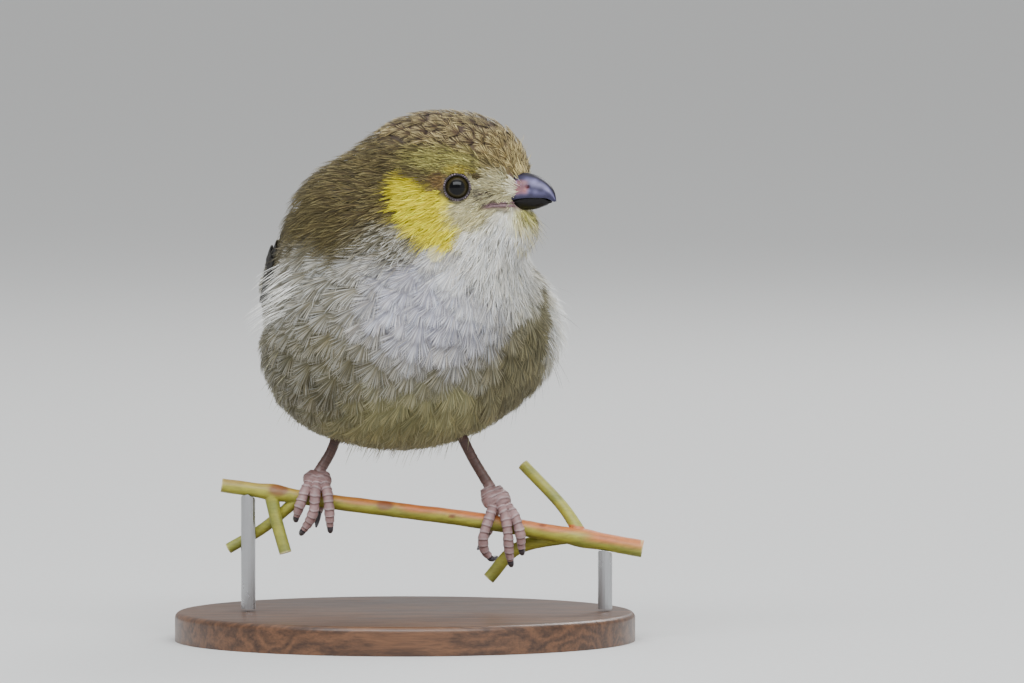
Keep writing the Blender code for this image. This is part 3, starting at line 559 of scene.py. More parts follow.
def vertex_places(mesh):
    places = np.empty(len(mesh.vertices) * 3)
    mesh.vertices.foreach_get("co", places)
    return places.reshape(-1, 3) / MM


def move_vertices(mesh, places):
    mesh.vertices.foreach_set("co", (np.asarray(places) * MM).ravel())
    mesh.update()


# Darkest value of a tint
DARKEST = 0.002


def colour_vertices(mesh, tints):
    layer = mesh.color_attributes.new("tint", "FLOAT_COLOR", "POINT")
    rgba = np.ones((len(mesh.vertices), 4), np.float32)
    rgba[:, :3] = np.clip(tints, DARKEST, 1)
    layer.data.foreach_set("color", rgba.ravel())


def value_vertices(mesh, values, name):
    layer = mesh.attributes.new(name, "FLOAT", "POINT")
    layer.data.foreach_set("value", np.asarray(values, np.float32))


def smooth_path(points, samples):
    """Evenly spaced places on a Catmull-Rom curve through a few chosen points."""
    given = np.asarray(points, float)
    padded = np.vstack([2 * given[0] - given[1], given, 2 * given[-1] - given[-2]])
    dense = []
    for index in range(len(given) - 1):
        p0, p1, p2, p3 = padded[index : index + 4]
        for t in np.linspace(0, 1, 24, endpoint=False):
            cubic = (3 * p1 - p0 - 3 * p2 + p3) * t**3 + (2 * p0 - 5 * p1 + 4 * p2 - p3) * t**2
            dense.append((2 * p1 + (p2 - p0) * t + cubic) / 2)
    dense = np.array([*dense, given[-1]])
    along = np.concatenate([[0], np.cumsum(np.linalg.norm(np.diff(dense, axis=0), axis=1))])
    wanted = np.linspace(0, along[-1], samples)
    return np.stack([np.interp(wanted, along, dense[:, axis]) for axis in range(3)], axis=1)


def evaluated_mesh(holder):
    """A new mesh of what an object's curve or modifiers make. The object is removed."""
    bpy.context.view_layer.update()
    graph = bpy.context.evaluated_depsgraph_get()
    mesh = bpy.data.meshes.new_from_object(holder.evaluated_get(graph))
    bpy.data.objects.remove(holder)
    return mesh


def tube(points, radii, name, resolution):
    """A round bar along a path, with a radius at each point, as a closed mesh."""
    curve = bpy.data.curves.new(name, "CURVE")
    curve.dimensions = "3D"
    curve.bevel_depth = MM
    curve.bevel_resolution = resolution
    curve.use_fill_caps = True
    spline = curve.splines.new("POLY")
    spline.points.add(len(points) - 1)
    for control, place, radius in zip(spline.points, scaled_vectors(points), radii):
        control.co = (*place, 1)
        control.radius = radius
    shape = gathered([evaluated_mesh(new_object(name, curve))])
    bmesh.ops.remove_doubles(shape, verts=shape.verts[:], dist=1e-6)
    return mesh_from_bmesh(shape, name)


def gathered(meshes):
    """A bmesh that takes over several meshes."""
    shape = bmesh.new()
    for mesh in meshes:
        shape.from_mesh(mesh)
        bpy.data.meshes.remove(mesh)
    return shape


def fused(meshes, name):
    """The Boolean union of closed meshes, as one mesh."""
    tools = bpy.data.collections.new(name + "_tools")
    bpy.context.scene.collection.children.link(tools)
    for index, mesh in enumerate(meshes[1:]):
        tools.objects.link(bpy.data.objects.new(f"{name}_tool_{index}", mesh))
    holder = new_object(name + "_holder", meshes[0])
    modifier = holder.modifiers.new("join", "BOOLEAN")
    modifier.operation = "UNION"
    modifier.solver = "MANIFOLD"
    modifier.operand_type = "COLLECTION"
    modifier.collection = tools
    result = evaluated_mesh(holder)
    for item in tools.objects[:]:
        bpy.data.objects.remove(item)
    bpy.data.collections.remove(tools)
    result.shade_smooth()
    return result


# Materials


class Wiring:
    """Short names for adding and linking nodes in one tree."""

    def __init__(self, tree):
        self.tree = tree

    def node(self, kind, **settings):
        made = self.tree.nodes.new(kind)
        for key, value in settings.items():
            setattr(made, key, value)
        return made

    def link(self, source, target):
        self.tree.links.new(source, target)

    def feed(self, node, socket, value):
        if isinstance(value, bpy.types.NodeSocket):
            self.link(value, node.inputs[socket])
        else:
            node.inputs[socket].default_value = value

    def noise(self, vector, scale, detail=3.0, roughness=0.5):
        made = self.node("ShaderNodeTexNoise")
        entries = {"Vector": vector, "Scale": scale, "Detail": detail, "Roughness": roughness}
        for socket, value in entries.items():
            self.feed(made, socket, value)
        return made.outputs["Fac"]

    def maths(self, operation, first, second=0.0, third=0.0):
        made = self.node("ShaderNodeMath", operation=operation)
        for index, value in enumerate((first, second, third)):
            self.feed(made, index, value)
        return made.outputs[0]

    def between(self, value, low, high, new_low=0.0, new_high=1.0):
        made = self.node("ShaderNodeMapRange", interpolation_type="SMOOTHSTEP")
        for index, entry in enumerate((value, low, high, new_low, new_high)):
            self.feed(made, index, entry)
        return made.outputs[0]

    def blend(self, share, first, second, mode="MIX"):
        made = self.node("ShaderNodeMix", data_type="RGBA", blend_type=mode)
        self.feed(made, 0, share)
        self.feed(made, 6, first)
        self.feed(made, 7, second)
        return made.outputs[2]

    def object_place(self):
        return self.node("ShaderNodeTexCoord").outputs["Object"]

    def attribute(self, name, output="Color"):
        return self.node("ShaderNodeAttribute", attribute_name=name).outputs[output]

    def stretched_place(self, stretch):
        """Places in the object with each axis scaled, so that grain runs along the least scaled one."""
        made = self.node("ShaderNodeVectorMath", operation="MULTIPLY")
        self.link(self.object_place(), made.inputs[0])
        made.inputs[1].default_value = stretch
        return made.outputs[0]


def mottle_group():
    """Soft lighter and darker clouds over a colour, with a matching small change of roughness."""
    found = bpy.data.node_groups.get("Mottle")
    if found:
        return found
    group = bpy.data.node_groups.new("Mottle", "ShaderNodeTree")
    kinds = {"Colour": "NodeSocketColor"}
    entries = {"Colour": (0.5, 0.5, 0.5, 1), "Size": 1.0, "Strength": 0.2, "Roughness": 0.6}
    for label, value in entries.items():
        kind = kinds.get(label, "NodeSocketFloat")
        group.interface.new_socket(label, in_out="INPUT", socket_type=kind).default_value = value
    for label in ("Colour", "Roughness"):
        kind = kinds.get(label, "NodeSocketFloat")
        group.interface.new_socket(label, in_out="OUTPUT", socket_type=kind)
    wiring = Wiring(group)
    start, end = wiring.node("NodeGroupInput"), wiring.node("NodeGroupOutput")
    scale = wiring.maths("DIVIDE", 1000.0, start.outputs["Size"])
    cloud = wiring.noise(wiring.object_place(), scale, 4.0, 0.6)
    swing = wiring.maths("MULTIPLY", wiring.maths("SUBTRACT", cloud, 0.5), 2.0)
    gain = wiring.maths("MULTIPLY_ADD", swing, start.outputs["Strength"], 1.0)
    scaled = wiring.node("ShaderNodeVectorMath", operation="SCALE")
    wiring.link(start.outputs["Colour"], scaled.inputs[0])
    wiring.link(gain, scaled.inputs["Scale"])
    rough = wiring.maths("MULTIPLY_ADD", swing, 0.12, start.outputs["Roughness"])
    wiring.link(scaled.outputs[0], end.inputs["Colour"])
    wiring.link(rough, end.inputs["Roughness"])
    return group


def add_bump(wiring, shader, height, strength, distance):
    """Small relief, at a strength and a distance in metres."""
    bump = wiring.node("ShaderNodeBump")
    for socket, value in (("Strength", strength), ("Distance", distance), ("Height", height)):
        wiring.feed(bump, socket, value)
    wiring.link(bump.outputs["Normal"], shader.inputs["Normal"])


SKIN_GLOW = (0.0008, 0.0004, 0.0003)


def add_glow(shader, weight, radius=SKIN_GLOW):
    """Light that spreads under bare skin, farthest in red."""
    shader.inputs["Subsurface Weight"].default_value = weight
    shader.inputs["Subsurface Radius"].default_value = radius


def new_material(name, roughness=0.6, **constants):
    """A material with its shader node. Constants are set straight on the shader's own sockets."""
    material = bpy.data.materials.new(name)
    material.use_nodes = True
    shader = material.node_tree.nodes["Principled BSDF"]
    shader.inputs["Roughness"].default_value = roughness
    for socket, value in constants.items():
        shader.inputs[socket.replace("_", " ")].default_value = value
    return material, shader, Wiring(material.node_tree)


def made_once(maker):
    """Runs a material's maker the first time only."""

    def find():
        if maker.__name__ not in ROOM:
            ROOM[maker.__name__] = maker()
        return ROOM[maker.__name__]

    return find


def add_mottle(wiring, shader, colour, size, strength, roughness):
    group = wiring.node("ShaderNodeGroup", node_tree=mottle_group())
    entries = {"Colour": colour, "Size": size, "Strength": strength, "Roughness": roughness}
    for socket, value in entries.items():
        wiring.feed(group, socket, value)
    wiring.link(group.outputs["Colour"], shader.inputs["Base Color"])
    wiring.link(group.outputs["Roughness"], shader.inputs["Roughness"])


@made_once
def plumage_material():
    """Soft feather barbs, coloured by the tint that each one carries."""
    material, shader, wiring = new_material(
        "soft_plumage", 0.85, Sheen_Weight=0.1, Sheen_Roughness=0.5, Specular_IOR_Level=0.15
    )
    add_mottle(wiring, shader, wiring.attribute("tint"), 1.2, 0.12, 0.82)
    return material


# Skin

BARE_FACE = (138, 116, 108)
SKIN_AROUND = 200
SKIN_ALONG = 140
# How much of the colour of the vanes shows in the skin, the rest being that of the down
SKIN_VANE_SHARE = 0.4
# The unwrap's width, short of 1 so that the last column of faces fits beside it
UNWRAP_SHARE = 0.985


def spine_turn():
    spine = Vector(HIGH_HUB) - Vector(LOW_HUB)
    return Vector((0, 0, 1)).rotation_difference(spine).to_matrix()


def unwrap(directions):
    """Where directions from the spine fall on the skin's unwrap: round the spine, and down it."""
    local = unit(directions) @ np.array(spine_turn())
    around = np.arctan2(local[:, 1], local[:, 0]) / (2 * math.pi) + 0.5
    down = np.arccos(np.clip(local[:, 2], -1, 1)) / math.pi
    return np.stack([around * UNWRAP_SHARE, down], axis=1)


def ordered_faces(mesh):
    """The triangles of a mesh, in an order that doesn't change from run to run."""
    faces = np.array([face.vertices[:] for face in mesh.polygons])
    first = faces.argmin(axis=1)[:, None]
    faces = np.take_along_axis(faces, (first + np.arange(3)) % 3, axis=1)
    return faces[np.lexsort(faces.T[::-1])]


def skin_mesh():
    """One closed skin that lies inside the fluffed outline by the depth of the coat."""
    shape = bmesh.new()
    bmesh.ops.create_uvsphere(shape, u_segments=SKIN_AROUND, v_segments=SKIN_ALONG, radius=1.0)
    bmesh.ops.rotate(shape, verts=shape.verts[:], matrix=spine_turn())
    bmesh.ops.triangulate(shape, faces=shape.faces[:])
    directions = unit(np.array([vert.co[:] for vert in shape.verts]))
    outline = outline_points(directions)
    rows, _ = plumage(outline)
    places = settle(outline, rows[:, DEPTH])
    place_vertices(shape, places)
    mesh = mesh_from_bmesh(shape, "skin", 45.0)
    ROOM["skin"] = (places, ordered_faces(mesh), directions)
    return mesh, rows, directions


def add_skin_unwrap(mesh, directions):
    layer = mesh.uv_layers.new(name="OFBake")
    corners = np.empty(len(mesh.loops), np.int64)
    mesh.loops.foreach_get("vertex_index", corners)
    spots = unwrap(directions)[corners].reshape(-1, 3, 2)
    wide = np.ptp(spots[:, :, 0], axis=1) > 0.5
    spots[wide, :, 0] += (spots[wide, :, 0] < 0.5) * UNWRAP_SHARE
    layer.data.foreach_set("uv", spots.astype(np.float32).ravel())


# Coat

# Pieces of the coat: the patches that each holds, barbs in a feather, places along a barb, how loose
# the barbs lie, how much one barb differs from the next in tone, the width of a barb in millimetres,
# how much darker every other barb is as painted shade of the gaps between barbs, and the share of a
# barb after which its pale tip begins.
COAT_PIECES = (
    ("coat_back", ("base", "rump"), 40, 5, 0.03, 0.2, 0.085, 0.25, 0.4),
    ("coat_vent", ("vent",), 36, 5, 0.03, 0.2, 0.085, 0.1, 0.4),
    ("coat_belly", ("under",), 72, 6, 0.008, 0.07, 0.14, 0.24, 0.10),
    ("coat_belly_base", ("belly_base",), 56, 6, 0.012, 0.08, 0.13, 0.2, 0.10),
    ("coat_flanks", ("flank_left", "flank_right", "shoulder_cream"), 72, 6, 0.010, 0.08, 0.14, 0.26, 0.10),
    ("coat_fluff", ("side_fluff",), 40, 6, 0.06, 0.12, 0.085, 0.1, 0.2),
    ("coat_breast", ("breast",), 64, 6, 0.010, 0.08, 0.13, 0.18, 0.10),
    ("coat_nape", ("nape",), 20, 6, 0.09, 0.28, 0.09, 0.25, 0.4),
    ("coat_throat", ("throat", "collar"), 18, 6, 0.08, 0.15, 0.085, 0.1, 0.4),
    ("coat_crown", ("crown", "forehead"), 34, 5, 0.015, 0.2, 0.095, 0.62, 0.2),
    ("coat_brow", ("brow", "brow_gold", "ear_spot", "loral_fleck"), 12, 5, 0.12, 0.38, 0.075, 0.35, 0.4),
    ("coat_lores", ("lores", "loral_spot", "moustache", "chin"), 11, 5, 0.13, 0.36, 0.07, 0.2, 0.4),
    ("coat_cheeks", ("cheek",), 14, 6, 0.11, 0.26, 0.085, 0.25, 0.45),
)
# Most triangles in a piece
PIECE_LIMIT = 190000
# Places tried for each feather that grows
CANDIDATES_EACH = 9
# How far roots stay from eyes, bill and mouth, and the most wing cover that they grow under
EYE_ROOM, BILL_ROOM, MOUTH_ROOM, WING_ROOM = 0.05, 0.02, 0.34, 0.6
# A feather takes its looks from where this share of its length lies
SHOWN_SHARE = 0.7
# Width of a tuft's patch on the unwrap
TUFT_PATCH = 0.003
# How far forward each wing lies over the coat, right and left, how much less its upper part does, and
# the angles round the body between which that begins
WING_SHOWS = {1: 0.8, -1: -8.0}
WING_SHOWS_LESS = 9.5
WING_SHOULDER = (26, 38)
# Soft borders of the wing, in degrees inside its edges, and at its end, in millimetres forward
WING_BORDER = (-3, 5)
WING_END = (-31, -26)


def wing_angle(points):
    """How far forward points are, and their angle round the body in degrees, alike on both sides."""
    local = BODY.to_local(points)
    axis_up = np.minimum(local[:, 0], 0.0) * WING_AXIS_SLOPE
    return local[:, 0], np.degrees(np.arctan2(local[:, 2] - axis_up, np.abs(local[:, 1])))


def wing_edges(forward):
    """Angles round the body of the wing's lower and upper edge."""
    edge = np.array(WING_CORE_EDGE)
    return [np.interp(-forward, -edge[:, 0], edge[:, column]) for column in (1, 2)]


def wing_on_top(forward, angle, side):
    """1 where the folded wing lies over the coat, 0 where its front edge is tucked under it."""
    start = WING_SHOWS[side] - WING_SHOWS_LESS * smooth_share(angle, *WING_SHOULDER)
    return smooth_share(start - forward, -2.0, 2.0)


def wing_cover(points):
    """1 under the folded wings, 0 clear of them, with a soft border."""
    forward, angle = wing_angle(points)
    sides = BODY.to_local(points)[:, 1] > 0
    on_top = np.where(sides, wing_on_top(forward, angle, 1), wing_on_top(forward, angle, -1))
    low, high = wing_edges(forward)
    inside = smooth_share(angle - low, *WING_BORDER) * smooth_share(high - angle, *WING_BORDER)
    return inside * smooth_share(forward, *WING_END) * on_top


def feather_roots():
    """Where feathers grow, closer where they are small, with their looks and the way that they lie."""
    places, faces, directions = ROOM["skin"]
    draw = np.random.default_rng(SEED)
    corners = places[faces]
    across = np.cross(corners[:, 1] - corners[:, 0], corners[:, 2] - corners[:, 0])
    areas = np.linalg.norm(across, axis=1) / 2
    rows, _ = plumage(corners.mean(axis=1))
    wanted = areas / rows[:, SPACING] ** 2
    count = int(wanted.sum() * CANDIDATES_EACH)
    chosen = draw.choice(len(faces), size=count, p=wanted / wanted.sum())
    first, second = draw.random(count), draw.random(count)
    flip = first + second > 1
    first[flip], second[flip] = 1 - first[flip], 1 - second[flip]
    weights = np.stack([1 - first - second, first, second], axis=1)[:, :, None]
    roots = (corners[chosen] * weights).sum(axis=1)
    aims = (directions[faces[chosen]] * weights).sum(axis=1)
    rows, _ = plumage(roots)
    finder = KDTree(count)
    for index, root in enumerate(roots):
        finder.insert(root, index)
    finder.balance()
    free = np.ones(count, bool)
    kept = []
    for index in range(count):
        if free[index]:
            kept.append(index)
            for _, other, _ in finder.find_range(roots[index], rows[index, SPACING]):
                free[other] = False
    roots, aims, rows = roots[kept], aims[kept], rows[kept]
    clear = (eye_clearance(roots) > EYE_ROOM) & (bill_clearance(roots) > BILL_ROOM)
    clear &= (wing_cover(roots) < WING_ROOM) & (mouth_clearance(roots) > MOUTH_ROOM)
    roots, aims, rows = roots[clear], aims[clear], rows[clear]
    normals = outline_normal(roots)
    flow = lie_direction(roots, normals)
    shown = settle(roots + flow * (rows[:, LENGTH] * SHOWN_SHARE)[:, None], 0.0)
    seen, rule = plumage(shown)
    seen[:, DOWN], seen[:, DEPTH] = rows[:, DOWN], rows[:, DEPTH]
    seen[:, LENGTH] = open_length(roots, flow, seen[:, LENGTH])
    long = seen[:, LENGTH] > SHORTEST
    return roots[long], aims[long], seen[long], rule[long], normals[long], flow[long]


def basis(nodes, values):
    """Lagrange weights of each node for each value, for a smooth sheet through a few places."""
    shares = []
    for index, node in enumerate(nodes):
        share = np.ones_like(values)
        for other in np.delete(nodes, index):
            share = share * (values - other) / (node - other)
        shares.append(share)
    return np.stack(shares, axis=-1)


def on_sheet(sheets, along, across):
    return np.einsum(
        "fkt,fks,ftsc->fkc", basis(SHEET_ALONG, along), basis(SHEET_ACROSS, across), sheets
    )


# Shares of a feather's length and half width at which its sheet is set
SHEET_ALONG = np.array([0.0, 1 / 3, 2 / 3, 1.0])
SHEET_ACROSS = np.array([-1.0, 0.0, 1.0])
# How far tips of feathers beside a folded wing rise over its edge
WING_STAND = 1.2
# How much lower the sides of a feather lie than its middle, as a share of its width
FEATHER_DOME = 0.05
# Places where feather tips stand out past the outline: centre, reach and how much, as a share of depth
FLUFFED = (
    ((-2.0, 20.0, -5.0), 9.0, 0.45),
    ((-1.0, 19.0, 3.0), 6.0, 0.3),
    ((7.0, -20.0, 1.0), 9.0, 0.95),
)


def fluffed(points):
    """How much more than the coat's depth the feathers rise."""
    local = BODY.to_local(points)
    total = np.zeros(len(points))
    for centre, reach, amount in FLUFFED:
        total += amount * bump_share(np.linalg.norm(local - np.array(centre), axis=1), 0.0, reach)
    return total


def feather_sheets(roots, normals, flow, rows, draw):
    """For each feather a curved sheet that rises from the skin to the outline of the coat."""
    count = len(roots)
    side = np.cross(flow, normals)
    length = rows[:, LENGTH] * draw.normal(1.0, 0.08, count)
    width = rows[:, WIDTH] * draw.normal(1.0, 0.08, count)
    tip_rise = draw.normal(1.0, 0.10, count) + fluffed(roots)
    sheets = np.empty((count, 4, 3, 3))
    for row, along in enumerate(SHEET_ALONG):
        for column, across in enumerate(SHEET_ACROSS):
            flat = roots + flow * (length * along)[:, None]
            flat = flat + side * (width / 2 * across)[:, None]
            rise = along**0.75 * tip_rise
            depth = rows[:, DEPTH] * (1 - rise) + FEATHER_DOME * width * abs(across) * along
            depth = depth - WING_STAND * wing_cover(flat) * smooth_share(along, 0.1, 0.7)
            sheets[:, row, column] = settle(flat, depth)
    return sheets


# How unevenly the barbs of a feather end, as a share of its length
TIP_RAGGED = 0.035


def barb_lines(sheets, rows, barbs, stations, loose, draw):
    """Centre lines of the barbs of every feather, with each place's share along and across it."""
    count = len(sheets)
    fan = np.linspace(-1, 1, barbs)[None] + draw.normal(0, 0.25 / barbs, (count, barbs))
    fan = np.clip(fan, -1, 1)
    spread = rows[:, SPREAD][:, None]
    base = 0.72 - 0.42 * spread
    reach_back = 0.44 - 0.18 * spread
    angle = fan * math.pi / 2 * (0.93 - 0.13 * spread)
    start_along = 0.06 + reach_back * (1 - np.abs(fan)) * draw.uniform(0.7, 1.1, (count, barbs))
    start_across = 0.05 * fan
    end_along = base + (1 - base) * np.cos(angle) + draw.normal(0, loose + TIP_RAGGED, (count, barbs))
    end_across = np.sin(angle) + draw.normal(0, 2 * loose, (count, barbs))
    bend_along = start_along + 0.5 * (end_along - start_along)
    bend_across = start_across + (0.34 + 0.12 * spread) * (end_across - start_across)
    share = np.linspace(0, 1, stations)[None, None]
    first, middle, last = (1 - share) ** 2, 2 * share * (1 - share), share**2
    along = start_along[..., None] * first + bend_along[..., None] * middle + end_along[..., None] * last
    across = start_across[..., None] * first + bend_across[..., None] * middle
    across = across + end_across[..., None] * last
    flat = (count, barbs * stations)
    places = on_sheet(sheets, along.reshape(flat), across.reshape(flat))
    ahead = on_sheet(sheets, along.reshape(flat) + 0.03, across.reshape(flat)) - places
    beside = on_sheet(sheets, along.reshape(flat), across.reshape(flat) + 0.03) - places
    normals = unit(np.cross(beside, ahead))
    stray = draw.normal(0, 0.04 + loose / 2, (count, barbs, 1)) * share * rows[:, LENGTH][:, None, None] / 4
    places = places + normals * stray.reshape(flat)[..., None]
    shape = (count * barbs, stations)
    return (
        places.reshape(*shape, 3),
        normals.reshape(*shape, 3),
        along.reshape(shape),
        across.reshape(shape),
    )


# Palest value of a barb's tint
PALEST = 0.95
# Width of a barb at each of its stations, as a share of the full one
BARB_PROFILE = {
    5: (0.6, 1.0, 0.9, 0.6, 0.0),
    6: (0.5, 0.9, 1.0, 0.95, 0.7, 0.0),
    7: (0.6, 0.9, 1.0, 1.0, 0.85, 0.55, 0.0),
}


def ribbons(name, lines, normals, widths, colours, spots, draw):
    """Thin tapering ribbons along lines, one to a barb, coloured and placed on the skin's unwrap."""
    count, stations = lines.shape[:2]
    tangents = unit(np.gradient(lines, axis=1))
    side = unit(np.cross(tangents, normals))
    twist = draw.normal(0, 0.15, (count, 1, 1))
    side = side * np.cos(twist) + unit(normals) * np.sin(twist)
    half = widths[:, None, None] * np.array(BARB_PROFILE[stations])[None, :, None] / 2
    pairs = stations - 1
    places = np.empty((count, 2 * pairs + 1, 3))
    places[:, 0 : 2 * pairs : 2] = (lines - side * half)[:, :-1]
    places[:, 1 : 2 * pairs : 2] = (lines + side * half)[:, :-1]
    places[:, -1] = lines[:, -1]
    tints = np.empty_like(places)
    tints[:, 0 : 2 * pairs : 2] = colours[:, :-1]
    tints[:, 1 : 2 * pairs : 2] = colours[:, :-1]
    tints[:, -1] = colours[:, -1]
    corners = []
    for step in range(pairs - 1):
        corners += [2 * step, 2 * step + 1, 2 * step + 3, 2 * step + 2]
    corners += [2 * pairs - 2, 2 * pairs - 1, 2 * pairs]
    sizes = [4] * (pairs - 1) + [3]
    corners, sizes = np.array(corners), np.array(sizes)
    loops = (corners[None] + (2 * pairs + 1) * np.arange(count)[:, None]).ravel()
    starts = np.concatenate([[0], np.cumsum(sizes)[:-1]])
    starts = (starts[None] + len(corners) * np.arange(count)[:, None]).ravel()
    mesh = bpy.data.meshes.new(name)
    mesh.vertices.add(count * (2 * pairs + 1))
    mesh.vertices.foreach_set("co", (places * MM).astype(np.float32).ravel())
    mesh.loops.add(len(loops))
    mesh.loops.foreach_set("vertex_index", loops.astype(np.int32))
    mesh.polygons.add(len(starts))
    mesh.polygons.foreach_set("loop_start", starts.astype(np.int32))
    mesh.update(calc_edges=True)
    mesh.validate()
    mesh.shade_smooth()
    colour_vertices(mesh, np.minimum(tints, PALEST).reshape(-1, 3))
    across = np.where(corners == 2 * pairs, 0.5, corners % 2)
    down = np.where(corners == 2 * pairs, 1.0, (corners // 2) / pairs)
    patch = (np.stack([across, down], axis=1) - 0.5) * TUFT_PATCH
    layer = mesh.uv_layers.new(name="OFBake")
    layer.data.foreach_set("uv", (spots[:, None] + patch[None]).astype(np.float32).ravel())
    return mesh


# Where the down at the root has given way to the vane, and how pale the tips of shaded barbs are:
# every other barb is darker, as painted shade of the gaps between barbs
DOWN_SHARE = 0.34
SHADED_BARB_TIP = 0.2
FEATHER_CONTRAST = 0.08


def barb_colours(rows, along, across, share, barbs, contrast, gap_shade, pale_from, draw):
    """Tints along each barb: down at the root, then the vane, its dark heart and its pale edge; every other
    barb is darker, painted shade of the gaps.
    """
    fields = np.repeat(rows, barbs, axis=0)
    vane, edge, heart, down = (fields[:, None, 3 * k : 3 * k + 3] for k in range(4))
    middle = bump_share(across, 0.0, 0.45) * smooth_share(along, 0.3, 0.5)
    middle = middle * (1 - smooth_share(along, 0.80, 1.0)) * fields[:, HEART_AMOUNT][:, None]
    # Every other barb, and some at random, is darker and has a duller tip: painted shade of the gaps between
    # barbs
    shaded_barb = np.tile(np.arange(barbs) % 2, len(rows)) ^ (draw.random(len(fields)) < 0.15)
    pale = 1 - (1 - SHADED_BARB_TIP) * shaded_barb
    rim = smooth_share(share, pale_from, 1.0) * (fields[:, EDGE_AMOUNT] * pale)[:, None]
    tint = mixed(down, vane, smooth_share(along, 0.10, DOWN_SHARE))
    tint = mixed(mixed(tint, heart, middle), edge, rim)
    feather_gain = np.repeat(np.exp(draw.normal(0, FEATHER_CONTRAST, len(rows))), barbs)
    barb_gain = np.exp(draw.normal(0, contrast, len(fields))) * (1 - gap_shade * shaded_barb)
    warm = draw.normal(0, 0.03, (len(fields), 1, 1)) * np.array([1.0, 0.2, -1.2])
    return tint * (feather_gain * barb_gain)[:, None, None] * (1 + warm)


def patch_names():
    return ["base", *(patch[0] for patch in PATCHES)]


def coat_piece(name, members, barbs, stations, loose, contrast, barb_width, gap_shade, pale_from, growth):
    """The barbs of all feathers that a piece of the coat holds."""
    roots, aims, rows, rule, normals, flow = growth
    wanted = [patch_names().index(member) - 1 for member in members]
    mask = np.isin(rule, wanted)
    feathers = int(mask.sum())
    draw = np.random.default_rng([SEED, len(name), feathers])
    triangles = 2 * (stations - 2) + 1
    barbs = min(barbs, PIECE_LIMIT // max(1, feathers * triangles))
    rows = rows[mask]
    sheets = feather_sheets(roots[mask], normals[mask], flow[mask], rows, draw)
    lines, faces_out, along, across = barb_lines(sheets, rows, barbs, stations, loose, draw)
    share = np.broadcast_to(np.linspace(0, 1, stations), along.shape)
    colours = barb_colours(rows, along, across, share, barbs, contrast, gap_shade, pale_from, draw)
    settings = bpy.context.scene.pardalote_plumage
    widths = barb_width * settings.barb_gain * draw.uniform(0.6, 1.25, feathers * barbs)
    spots = np.repeat(unwrap(aims[mask]), barbs, axis=0)
    return ribbons(name, lines, faces_out, widths, colours, spots, draw)


# Loose hairs and filaments: place in the axes given, how far round it they grow, how many, their
# length, how steeply they leave the skin, colour, and 1 to lie with the feathers or -1 against them
FILAMENTS = (
    (BODY, (6.0, -19.5, 2.0), 8.0, 800, 5.0, 0.5, "white", 1),
    (BODY, (6.0, -19.5, 1.0), 7.0, 26, 7.5, 0.7, "crown_brown", 1),
    (BODY, (4.0, 16.0, 6.0), 4.6, 130, 7.0, 0.8, "grey_white", 1),
    (HEAD, (12.6, 0.0, -6.4), 2.8, 180, 3.0, 0.8, "sand", 1),
    (HEAD, (12.6, 0.0, -6.4), 2.6, 34, 3.4, 1.0, "crown_brown", 1),
    (HEAD, (11.6, 0.0, 0.6), 1.9, 300, 1.25, 0.3, "buff", -1),
    (HEAD, (11.6, 0.0, 0.6), 1.9, 90, 1.25, 0.3, "crown_brown", -1),
    (HEAD, (5.2, 7.0, 2.0), 2.6, 130, 1.3, 0.1, "crown_brown", 1),
    (HEAD, (5.2, -7.0, 2.0), 2.6, 130, 1.3, 0.1, "crown_brown", 1),
    (HEAD, (2.6, 7.4, -0.6), 1.8, 70, 1.2, 0.12, "crown_brown", 1),
    (HEAD, (2.6, -7.4, -0.6), 1.8, 70, 1.2, 0.12, "crown_brown", 1),
    (HEAD, (11.2, 0.0, 2.0), 2.6, 90, 1.6, 0.7, "buff", 1),
    (HEAD, (10.6, 2.4, -1.4), 1.7, 120, 1.5, 0.5, "cream", -1),
    (HEAD, (10.6, -2.4, -1.4), 1.7, 120, 1.5, 0.5, "cream", -1),
    (HEAD, (8.8, 4.4, -2.9), 1.5, 60, 1.5, 0.35, "crown_brown", 1),
    (HEAD, (8.8, -4.4, -2.9), 1.5, 60, 1.5, 0.35, "crown_brown", 1),
    (HEAD, (0.0, 8.0, -5.0), 4.8, 230, 1.7, 0.3, "olive_dark", 1),
    (HEAD, (0.0, -8.0, -5.0), 4.8, 230, 1.7, 0.3, "olive_dark", 1),
    (HEAD, (9.0, -3.0, -12.0), 4.5, 110, 3.6, 0.5, "cream", 1),
    (BODY, (2.0, 0.0, -15.0), 11.0, 500, 5.0, 0.35, "moss_pale", 1),
    (BODY, (-2.0, 17.0, -3.0), 9.0, 240, 5.0, 0.35, "moss_pale", 1),
    (BODY, (2.0, -17.0, -6.0), 7.0, 260, 5.5, 0.35, "moss_dark", 1),
    (HEAD, (-10.0, 0.0, 2.0), 8.0, 200, 2.4, 0.3, "olive", 1),
    (HEAD, (0.0, 0.0, 8.0), 9.0, 200, 1.3, 0.15, "olive_pale", 1),
    (BODY, (-12.0, 0.0, 10.0), 12.0, 200, 4.0, 0.3, "olive_pale", 1),
)
FILAMENT_STATIONS = 7
# How far the roots of hairs stay from eyes, bill and mouth
HAIR_EYE_ROOM, HAIR_BILL_ROOM, HAIR_MOUTH_ROOM = 0.6, 0.1, 0.5


